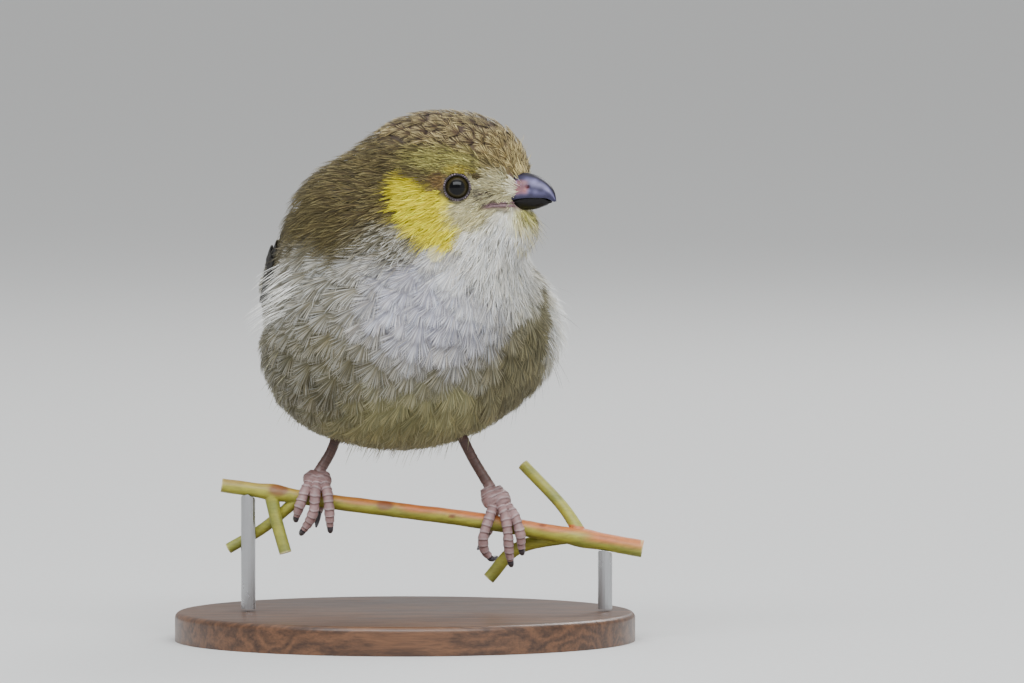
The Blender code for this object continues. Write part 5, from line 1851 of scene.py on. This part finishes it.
CLAW_LENGTHS = {"outer": 1.6, "middle": 1.5, "inner": 1.5, "hind": 2.4}
LEG_REACH_IN = 2.5
SCUTE_LENGTH = 0.92
SCUTE_HEIGHT = 0.16
# How strongly a plate's rim and the groove after it show
SCUTE_RIM = 0.42
SCUTE_GROOVE = 0.8
# Tones of a plate, of its rim and of the groove after it
LEG_TONES = ((78, 50, 42), (92, 62, 52), (60, 38, 32))
FOOT_TONES = ((142, 112, 110), (190, 174, 176), (98, 68, 64))

# The twig's middle line as (X, height over the perch), and its side stalks with their radii
TWIG_LINE = ((-25.5, 3.55), (-18.2, 2.5), (-8.4, 1.0), (8.0, -1.05), (21.1, -3.2), (33.0, -5.3))
TWIG_RADIUS_LEFT = 0.95
TWIG_RADIUS_RIGHT = 1.20
TWIG_KNOTS = (-18.4, 24.8)
KNOT_SWELL = 0.2
KNOT_REACH = 1.6
# How far from the middle line the bark of the stem itself reaches
STEM_REACH = 1.6
STALKS = (
    (((-18.6, 0.0, 20.4), (-17.9, -0.6, 16.8), (-16.6, -1.2, 12.2)), 0.86),
    (((-14.6, 0.0, 19.9), (-19.6, 1.4, 15.6), (-24.6, 2.4, 12.6)), 0.74),
    (((24.6, 0.0, 14.4), (21.8, 1.8, 18.6), (16.4, 4.4, 24.2)), 0.80),
    (((22.5, 0.2, 14.5), (15.6, 2.2, 12.6), (11.6, 2.6, 8.4)), 0.88),
)


def twig_line(samples):
    return smooth_path([(x, 0.0, PERCH_HEIGHT + rise) for x, rise in TWIG_LINE], samples)


def twig_centre(x):
    line = twig_line(60)
    return np.array([x, 0.0, np.interp(x, line[:, 0], line[:, 2])])


def foot_points(side, points):
    centre = twig_centre(FEET[side]["grip"])
    return [centre + np.array([along, -out, up]) for along, out, up in points]


def toe_path(side, toe, samples):
    return smooth_path(foot_points(side, FEET[side]["toes"][toe]), samples)


def stretched(values, samples):
    """A few values spread smoothly over more places."""
    spots = np.linspace(0, 1, len(values))
    dense = smooth_path([(spot * 6, value, value) for spot, value in zip(spots, values)], 120)
    return np.interp(np.linspace(0, 6, samples), dense[:, 0], dense[:, 1])


def near_path(places, path):
    """How far along a path each place is, its offset from the path, and its distance."""
    along = np.concatenate([[0], np.cumsum(np.linalg.norm(np.diff(path, axis=0), axis=1))])
    gaps = np.linalg.norm(places[:, None] - path[None], axis=2)
    index = gaps.argmin(axis=1)
    offset = places - path[index]
    heading = unit(np.gradient(path, axis=0))[index]
    slip = np.sum(offset * heading, axis=1)
    return along[index] + slip, offset - heading * slip[:, None], gaps.min(axis=1)


def scuted(mesh, paths, ankle):
    """Gives skin of legs and toes its overlapping plates, pads below, and their colours."""
    places = vertex_places(mesh)
    best = np.full(len(places), FAR_AWAY)
    along, offset = np.zeros(len(places)), np.zeros((len(places), 3))
    for path in paths:
        run, aside, gap = near_path(places, path)
        near = gap < best
        best = np.where(near, gap, best)
        along = np.where(near, run, along)
        offset = np.where(near[:, None], aside, offset)
    phase = np.mod(along / SCUTE_LENGTH + 0.12 * wander(places, 2.0, SEED + 9), 1.0)
    out = unit(offset)
    front = smooth_share(-out[:, 1] * 0.8 + out[:, 2] * 0.5, -0.25, 0.25)
    plate = SCUTE_HEIGHT * (phase - 0.5) * smooth_share(-phase, -1.0, -0.86)
    pad = 0.06 * np.sin(math.pi * phase) - 0.03
    above = smooth_share(places[:, 2] - ankle, -1.6, 1.2)
    relief = (plate * front + pad * (1 - front)) * (1 - 0.75 * above)
    move_vertices(mesh, places + out * relief[:, None])
    rim = smooth_share(phase, 0.62, 0.86) * front
    dark = np.maximum(smooth_share(phase, 0.88, 0.97), smooth_share(-phase, -0.12, 0.0))
    tints = []
    for palette in (FOOT_TONES, LEG_TONES):
        base, edge, groove = tones(*palette)
        tints.append(mixed(mixed(base, edge, rim * SCUTE_RIM), groove, dark * SCUTE_GROOVE))
    gain = 1 + 0.10 * wander(places, 1.5, SEED + 4)
    colour_vertices(mesh, mixed(*tints, above) * gain[:, None])
    return mesh


LEG_SAMPLES = 110
TOE_SAMPLES = 80
INSTEP_SAMPLES = 30
CLAW_SAMPLES = 28


def foot_mesh(side, name):
    """Leg, foot and toes as one form, dark above and paler down the toes."""
    radii = TOE_RADIUS * stretched(TOE_SWELLS, TOE_SAMPLES)
    paths = [toe_path(side, toe, TOE_SAMPLES) for toe in FEET[side]["toes"]]
    bars = [tube(path, radii, "toe", 7) for path in paths]
    instep = smooth_path(foot_points(side, FEET[side]["instep"]), INSTEP_SAMPLES)
    swell = stretched(INSTEP_RADII, INSTEP_SAMPLES)
    for shift in (-INSTEP_SPREAD, INSTEP_SPREAD):
        bars.append(tube(instep + (shift, 0, 0), swell, "instep", 8))
    points = foot_points(side, [*FEET[side]["leg"], *FEET[side]["instep"][1:]])
    start = points[0] + unit(points[0] - points[1]) * LEG_REACH_IN
    leg = smooth_path([start, *points], LEG_SAMPLES)
    bars.append(tube(leg, TARSUS_RADIUS * stretched(LEG_SWELLS, LEG_SAMPLES), "leg", 8))
    mesh = fused(bars[::-1], name)
    return scuted(mesh, [*paths, leg], points[2][2])


def claw_mesh(side, toe, name):
    """A tapering hook that starts at the end of its toe and bends towards its tip."""
    path = toe_path(side, toe, 7)
    ahead = unit(path[-1] - path[-2])
    along, out, up = FEET[side]["claws"][toe]
    hook = unit(np.array([along, -out, up]))
    count = len(CLAW_SWELLS)
    step = CLAW_LENGTHS[toe] / (count - 1)
    points = [path[-1] + ahead * CLAW_START]
    for share in np.linspace(0, 1, count)[1:]:
        points.append(points[-1] + unit(ahead * (1 - share) ** 2 + hook * share) * step)
    radii = CLAW_RADIUS * stretched(CLAW_SWELLS, CLAW_SAMPLES)
    return tube(smooth_path(points, CLAW_SAMPLES), radii, name, 5)


@made_once
def claw_material():
    """Dark grey horn in two tones."""
    material, shader, wiring = new_material("claw_gloss", 0.35, Coat_Weight=0.3, Coat_Roughness=0.2)
    grains = wiring.noise(wiring.object_place(), 1500.0, 3.0, 0.6)
    colour = wiring.blend(grains, opaque(34, 32, 36), opaque(92, 86, 92))
    add_mottle(wiring, shader, colour, 0.8, 0.15, 0.36)
    add_bump(wiring, shader, grains, 0.3, 0.00004)
    return material


@made_once
def tinted_skin_material():
    """Scaled skin of legs and toes, coloured by the tint of each plate."""
    material, shader, wiring = new_material("scuted_skin", 0.5, Coat_Weight=0.1, Coat_Roughness=0.4)
    add_glow(shader, 0.1)
    add_mottle(wiring, shader, wiring.attribute("tint"), 0.6, 0.18, 0.5)
    grains = wiring.noise(wiring.object_place(), 4200.0, 3.0, 0.6)
    add_bump(wiring, shader, grains, 0.45, 0.00005)
    return material


# Twig

TWIG_GREEN = (162, 158, 56)
TWIG_OLIVE = (120, 128, 56)
TWIG_RED = (196, 104, 48)
TWIG_SCAR = (116, 52, 28)
TWIG_PALE = (206, 192, 140)
# Small scars in the bark: place along X, out and up from the twig's middle, and size
TWIG_SCARS = (
    (-2.8, -0.75, 0.45, 0.75),
    (-17.6, -0.8, 0.5, 0.9),
    (6.5, -0.9, 0.1, 0.35),
    (19.0, -0.6, 0.7, 0.4),
)


def twig_mesh():
    line = twig_line(240)
    radii = np.linspace(TWIG_RADIUS_LEFT, TWIG_RADIUS_RIGHT, len(line))
    for knot in TWIG_KNOTS:
        radii = radii + KNOT_SWELL * bump_share(line[:, 0], knot, KNOT_REACH)
    bars = [tube(line, radii, "twig", 10)]
    for points, radius in STALKS:
        path = smooth_path(points, 70)
        taper = radius * (1.0 + 0.3 * np.exp(-np.linspace(0, 6, len(path))))
        bars.append(tube(path, taper, "stalk", 8))
    mesh = fused(bars, "perch_twig_bark")
    places = vertex_places(mesh)
    _, offset, _ = near_path(places, line)
    away = unit(offset)
    on_stem = np.linalg.norm(offset, axis=1) < STEM_REACH
    green, olive, red, scar, pale = tones(TWIG_GREEN, TWIG_OLIVE, TWIG_RED, TWIG_SCAR, TWIG_PALE)
    cloud = wander(places * (0.35, 1, 1), 2.2, SEED + 6)
    blush = smooth_share(away[:, 2] + 0.3 * cloud, -0.25, 0.55)
    blush = blush * smooth_share(places[:, 0] + 4 * cloud, -34, 6) * on_stem
    tint = mixed(green, olive, smooth_share(cloud, -0.6, 0.9) * 0.7)
    tint = mixed(tint, red, blush * 0.92)
    dent = np.zeros(len(places))
    for x, out, rise, size in TWIG_SCARS:
        spot = twig_centre(x) + np.array([0.0, out, rise])
        gap = np.linalg.norm((places - spot) * (0.6, 1, 1), axis=1) / size
        mark = smooth_share(-gap, -1.25, -0.7)
        tint = mixed(tint, scar, mark * 0.8)
        dent += 0.07 * bump_share(gap, 1.0, 0.35) - 0.06 * mark
    for points, radius in STALKS:
        end = np.array(points[-1])
        ahead = unit(np.subtract(points[-1], points[-2]))
        cut = smooth_share((places - end) @ ahead, -0.22, -0.05)
        cut = cut * (np.linalg.norm(places - end, axis=1) < radius * 2)
        tint = mixed(tint, pale, cut * 0.9)
    for end in (line[0], line[-1]):
        cut = smooth_share(-np.abs(places[:, 0] - end[0]), -0.2, -0.03)
        tint = mixed(tint, pale, cut * 0.9)
    ridges = 0.025 * wander(places * (0.25, 1.6, 1.6), 1.0, SEED + 8)
    move_vertices(mesh, places + away * ((dent + ridges) * on_stem)[:, None])
    colour_vertices(mesh, tint)
    return mesh


@made_once
def bark_material():
    """Smooth bark with fine fibres along the twig."""
    material, shader, wiring = new_material("green_bark", 0.5, Coat_Weight=0.15, Coat_Roughness=0.4)
    fibres = wiring.noise(wiring.stretched_place((0.25, 1.0, 1.0)), 2600.0, 4.0, 0.65)
    furrow = wiring.between(fibres, 0.35, 0.75, 0.0, 0.35)
    shaded = wiring.blend(furrow, wiring.attribute("tint"), (0.06, 0.04, 0.02, 1))
    add_mottle(wiring, shader, shaded, 0.9, 0.18, 0.5)
    add_bump(wiring, shader, fibres, 0.5, 0.00008)
    return material


# Stand

BASE_RADIUS = 32.0
BASE_THICKNESS = 4.0
BASE_BEVEL = 0.8


def base_mesh():
    shape = bmesh.new()
    bmesh.ops.create_cone(
        shape,
        cap_ends=True,
        segments=160,
        radius1=BASE_RADIUS * MM,
        radius2=BASE_RADIUS * MM,
        depth=BASE_THICKNESS * MM,
    )
    bmesh.ops.translate(shape, verts=shape.verts[:], vec=Vector((0, 0, BASE_THICKNESS / 2)) * MM)
    middle = BASE_THICKNESS / 2 * MM
    bmesh.ops.bevel(
        shape,
        geom=[edge for edge in shape.edges if all(vert.co.z > middle for vert in edge.verts)],
        offset=BASE_BEVEL * MM,
        affect="EDGES",
        segments=5,
        profile=0.5,
        material=-1,
    )
    return mesh_from_bmesh(shape, "stand_base_wood", 35.0)


@made_once
def wood_material():
    """Dark oiled wood with its grain along X."""
    material, shader, wiring = new_material("oiled_wood", 0.42, Coat_Weight=0.25, Coat_Roughness=0.25)
    place = wiring.stretched_place((0.07, 1.0, 1.0))
    bend = wiring.noise(place, 130.0, 3.0, 0.5)
    rings = wiring.maths("SINE", wiring.maths("MULTIPLY", bend, 60.0))
    pores = wiring.noise(place, 2600.0, 3.0, 0.7)
    grain = wiring.maths("MULTIPLY_ADD", rings, 0.16, pores)
    settings = bpy.context.scene.pardalote_stand
    dark, light = (*settings.wood_dark, 1), (*settings.wood_light, 1)
    colour = wiring.blend(wiring.between(grain, 0.1, 0.95), dark, light)
    add_mottle(wiring, shader, colour, 8.0, 0.12, 0.42)
    add_bump(wiring, shader, pores, 0.25, 0.0001)
    return material


@made_once
def steel_material():
    """Brushed steel of the two rods, its fine scratches running round them."""
    material, shader, wiring = new_material("brushed_steel", 0.3, Metallic=1.0)
    scratches = wiring.noise(wiring.stretched_place((0.15, 0.15, 3.0)), 4000.0, 3.0, 0.6)
    add_mottle(wiring, shader, (0.46, 0.46, 0.47, 1), 3.0, 0.08, 0.3)
    add_bump(wiring, shader, scratches, 0.15, 0.00003)
    return material


# Stage

CAMERA_TARGET = (14.86, 0.0, 41.54)
CAMERA_AWAY = 1500.0
CAMERA_RISE = 2.5
CAMERA_LENS = 379.7
CAMERA_SENSOR = 36.0
# In metres, degrees and watts for each square metre
FLOOR_RADIUS = 20.0
EVEN_ANGLE = 80
EVEN_POWER = 1.1
LIGHTS_TARGET = (0.0, 0.0, 0.045)
# Name, place in metres, width and height in metres, power in watts, and colour
LIGHTS = (
    ("key", (-0.05, -0.85, 0.95), (1.8, 0.6), 25.0, (0.94, 0.97, 1.0)),
    ("fill", (0.85, -0.75, 0.45), (0.9, 0.9), 1.5, (0.94, 0.97, 1.0)),
    ("rim", (0.45, 0.80, 0.75), (0.5, 0.5), 6.0, (1.0, 1.0, 1.0)),
    ("top", (0.0, -0.1, 1.20), (0.8, 0.8), 1.5, (1.0, 1.0, 1.0)),
)


def aim_at(item, target):
    away = Vector(target) - item.location
    item.rotation_euler = away.to_track_quat("-Z", "Y").to_euler()


def add_floor():
    shape = bmesh.new()
    bmesh.ops.create_circle(shape, cap_ends=True, segments=128, radius=FLOOR_RADIUS)
    mesh = bpy.data.meshes.new("floor")
    shape.to_mesh(mesh)
    shape.free()
    floor = new_object("floor", mesh)
    material, shader, wiring = new_material("floor_paper", 0.9)
    grain = wiring.noise(wiring.object_place(), 900.0, 3.0, 0.5)
    colour = wiring.blend(wiring.between(grain, 0.2, 0.8), (0.60, 0.60, 0.59, 1), (0.63, 0.63, 0.62, 1))
    wiring.link(colour, shader.inputs["Base Color"])
    mesh.materials.append(material)


def add_lights(settings):
    for name, place, size, power, colour in LIGHTS:
        lamp = bpy.data.lights.new(name, "AREA")
        lamp.shape = "RECTANGLE"
        lamp.size, lamp.size_y = size
        lamp.energy = power * settings.light_gain
        lamp.color = colour
        holder = new_object(name, lamp)
        holder.location = place
        aim_at(holder, LIGHTS_TARGET)
    even = bpy.data.lights.new("even", "SUN")
    even.energy = EVEN_POWER * settings.light_gain
    even.angle = math.radians(EVEN_ANGLE)
    new_object("even", even)
    world = bpy.data.worlds.new("studio")
    world.use_nodes = True
    sky = world.node_tree.nodes["Background"]
    sky.inputs["Color"].default_value = (*settings.world_colour, 1)
    sky.inputs["Strength"].default_value = settings.world_strength
    bpy.context.scene.world = world


def add_camera():
    camera = bpy.data.cameras.new("camera")
    camera.lens = CAMERA_LENS
    camera.sensor_width = CAMERA_SENSOR
    camera.clip_start = 0.05
    camera.clip_end = 60.0
    holder = new_object("camera", camera)
    rise = math.radians(CAMERA_RISE)
    target = Vector(CAMERA_TARGET) * MM
    holder.location = target + Vector((0, -math.cos(rise), math.sin(rise))) * CAMERA_AWAY * MM
    aim_at(holder, target)
    bpy.context.scene.camera = holder


# Settings that a user can change


class PlumageSettings(bpy.types.PropertyGroup):
    barb_gain: FloatProperty(
        name="Barb width",
        description="Scale of the width of every barb in the coat",
        subtype="FACTOR",
        default=1.0,
        min=0.3,
        max=3.0,
    )


class StandSettings(bpy.types.PropertyGroup):
    wood_dark: FloatVectorProperty(
        name="Wood grain",
        description="Colour of the dark lines in the stand's wood",
        subtype="COLOR",
        default=from_screen(54, 34, 22),
        min=0.0,
        max=1.0,
    )
    wood_light: FloatVectorProperty(
        name="Wood",
        description="Colour of the light lines in the stand's wood",
        subtype="COLOR",
        default=from_screen(112, 76, 50),
        min=0.0,
        max=1.0,
    )


class StageSettings(bpy.types.PropertyGroup):
    light_gain: FloatProperty(
        name="Light gain", description="Scale of every lamp's power", default=1.0, min=0.0, max=10.0
    )
    world_strength: FloatProperty(
        name="World strength", description="Strength of the even light", default=0.45, min=0.0, max=10.0
    )
    world_colour: FloatVectorProperty(
        name="World colour",
        description="Colour of the even light",
        subtype="COLOR",
        default=(0.96, 0.98, 1.0),
        min=0.0,
        max=1.0,
    )


# Operators

SIDES = ((1, "right"), (-1, "left"))


def grown():
    """Roots of every feather with the direction that it lies in. Made once and kept."""
    if "growth" not in ROOM:
        ROOM["growth"] = feather_roots()
    return ROOM["growth"]


class AddSkin(bpy.types.Operator):
    """Add the closed skin of head, neck and body under the feathers"""

    bl_idname = "pardalote.skin"
    bl_label = "Skin"

    def execute(self, context):
        mesh, rows, directions = skin_mesh()
        tint = rows[:, DOWN] + (rows[:, VANE] - rows[:, DOWN]) * SKIN_VANE_SHARE
        places = ROOM["skin"][0]
        gap = np.minimum(bill_clearance(places) + 0.3, mouth_clearance(places))
        colour_vertices(mesh, mixed(tint, *tones(BARE_FACE), smooth_share(-gap, -0.7, -0.2)))
        add_skin_unwrap(mesh, directions)
        mesh.shade_smooth()
        link_piece(mesh, "skin", skin_material(), ("head", "neck", "torso"))
        return {"FINISHED"}


class AddCoat(bpy.types.Operator):
    """Add the coat of feathers, one mesh for each region"""

    bl_idname = "pardalote.coat"
    bl_label = "Coat"

    def execute(self, context):
        growth = grown()
        for name, members, *make in COAT_PIECES:
            mesh = coat_piece(name, members, *make, growth)
            link_piece(mesh, name, plumage_material())
        return {"FINISHED"}


class AddFilaments(bpy.types.Operator):
    """Add the loose hairs that stand out from the coat"""

    bl_idname = "pardalote.filaments"
    bl_label = "Loose Filaments"

    def execute(self, context):
        link_piece(filament_mesh(), "coat_filaments", plumage_material())
        return {"FINISHED"}


class AddWings(bpy.types.Operator):
    """Add the feathers of both folded wings"""

    bl_idname = "pardalote.wings"
    bl_label = "Wings"

    def execute(self, context):
        for side, word in SIDES:
            name = "feathers_wing_" + word
            mesh = wing_mesh(side, name)
            thicken(link_piece(mesh, name, vane_material(), ("wing_" + word,)))
        return {"FINISHED"}


class AddTail(bpy.types.Operator):
    """Add the twelve tail feathers"""

    bl_idname = "pardalote.tail"
    bl_label = "Tail"

    def execute(self, context):
        thicken(link_piece(tail_mesh(), "feathers_tail", vane_material(), ("tail",)))
        return {"FINISHED"}


class AddEyes(bpy.types.Operator):
    """Add both eyes and the bare lids round them"""

    bl_idname = "pardalote.eyes"
    bl_label = "Eyes and Lids"

    def execute(self, context):
        for side, word in SIDES:
            ball = eye_mesh(side, "eyeball_" + word)
            link_piece(ball, "eyeball_" + word, eye_material(), ("eye_" + word,))
            lid = lid_mesh(side, "lids_" + word)
            link_piece(lid, "lids_" + word, lid_material())
        return {"FINISHED"}


class AddBill(bpy.types.Operator):
    """Add the upper and lower bill and the bare edges of the mouth"""

    bl_idname = "pardalote.bill"
    bl_label = "Bill"

    def execute(self, context):
        upper = bill_form(UPPER_SECTION, False, "horn_upper")
        link_piece(upper, "horn_upper", horn_material(), ("bill_upper",))
        lower = bill_form(LOWER_SECTION, True, "horn_lower")
        link_piece(lower, "horn_lower", horn_material(), ("bill_lower",))
        link_piece(gape_mesh(), "gape", mouth_material())
        return {"FINISHED"}


class AddFeet(bpy.types.Operator):
    """Add both legs and feet with their claws"""

    bl_idname = "pardalote.feet"
    bl_label = "Legs, Feet and Claws"

    def execute(self, context):
        skin = tinted_skin_material()
        for side in FEET:
            name = "shank_and_toes_" + side
            link_piece(foot_mesh(side, name), name, skin, ("leg_" + side, "foot_" + side))
            for toe in FEET[side]["claws"]:
                name = f"hook_{side}_{toe}"
                claw = claw_mesh(side, toe, name)
                link_piece(claw, name, claw_material(), (f"claw_{side}_{toe}",))
        return {"FINISHED"}


class AddTwig(bpy.types.Operator):
    """Add the cut length of twig that the bird grips"""

    bl_idname = "pardalote.twig"
    bl_label = "Twig"

    def execute(self, context):
        link_piece(twig_mesh(), "perch_bark", bark_material(), ("perch_twig",))
        return {"FINISHED"}


class AddStand(bpy.types.Operator):
    """Add the stand's wooden base and give its rods their steel"""

    bl_idname = "pardalote.stand"
    bl_label = "Stand"

    def execute(self, context):
        link_piece(base_mesh(), "base_wood", wood_material(), ("stand_base",))
        for word in ("left", "right"):
            for holder in bpy.data.objects["stand_rod_" + word].material_slots:
                holder.material = steel_material()
        return {"FINISHED"}


class AddStage(bpy.types.Operator):
    """Add the floor, the lights and the camera"""

    bl_idname = "pardalote.stage"
    bl_label = "Stage"

    def execute(self, context):
        add_floor()
        add_lights(context.scene.pardalote_stage)
        add_camera()
        return {"FINISHED"}


OPERATORS = (
    AddSkin,
    AddCoat,
    AddFilaments,
    AddWings,
    AddTail,
    AddEyes,
    AddBill,
    AddFeet,
    AddTwig,
    AddStand,
    AddStage,
)
GROUPS = (
    ("pardalote_plumage", PlumageSettings),
    ("pardalote_stand", StandSettings),
    ("pardalote_stage", StageSettings),
)


class PardalotePanel(bpy.types.Panel):
    """Buttons for each group of pieces, and their settings"""

    bl_idname = "VIEW3D_PT_pardalote"
    bl_label = "Pardalote"
    bl_space_type = "VIEW_3D"
    bl_region_type = "UI"
    bl_category = "Pardalote"

    def draw(self, context):
        for name, group in GROUPS:
            box = self.layout.box()
            for key in group.__annotations__:
                box.prop(getattr(context.scene, name), key)
        for operator in OPERATORS:
            self.layout.operator(operator.bl_idname)


def register():
    for group in [group for _, group in GROUPS] + [*OPERATORS, PardalotePanel]:
        bpy.utils.register_class(group)
    for name, group in GROUPS:
        setattr(bpy.types.Scene, name, PointerProperty(type=group))


def unregister():
    for name, _ in GROUPS:
        delattr(bpy.types.Scene, name)
    for group in reversed([group for _, group in GROUPS] + [*OPERATORS, PardalotePanel]):
        bpy.utils.unregister_class(group)


def main():
    register()
    for operator in OPERATORS:
        family, step = operator.bl_idname.split(".")
        getattr(getattr(bpy.ops, family), step)()


if __name__ == "__main__":
    main()
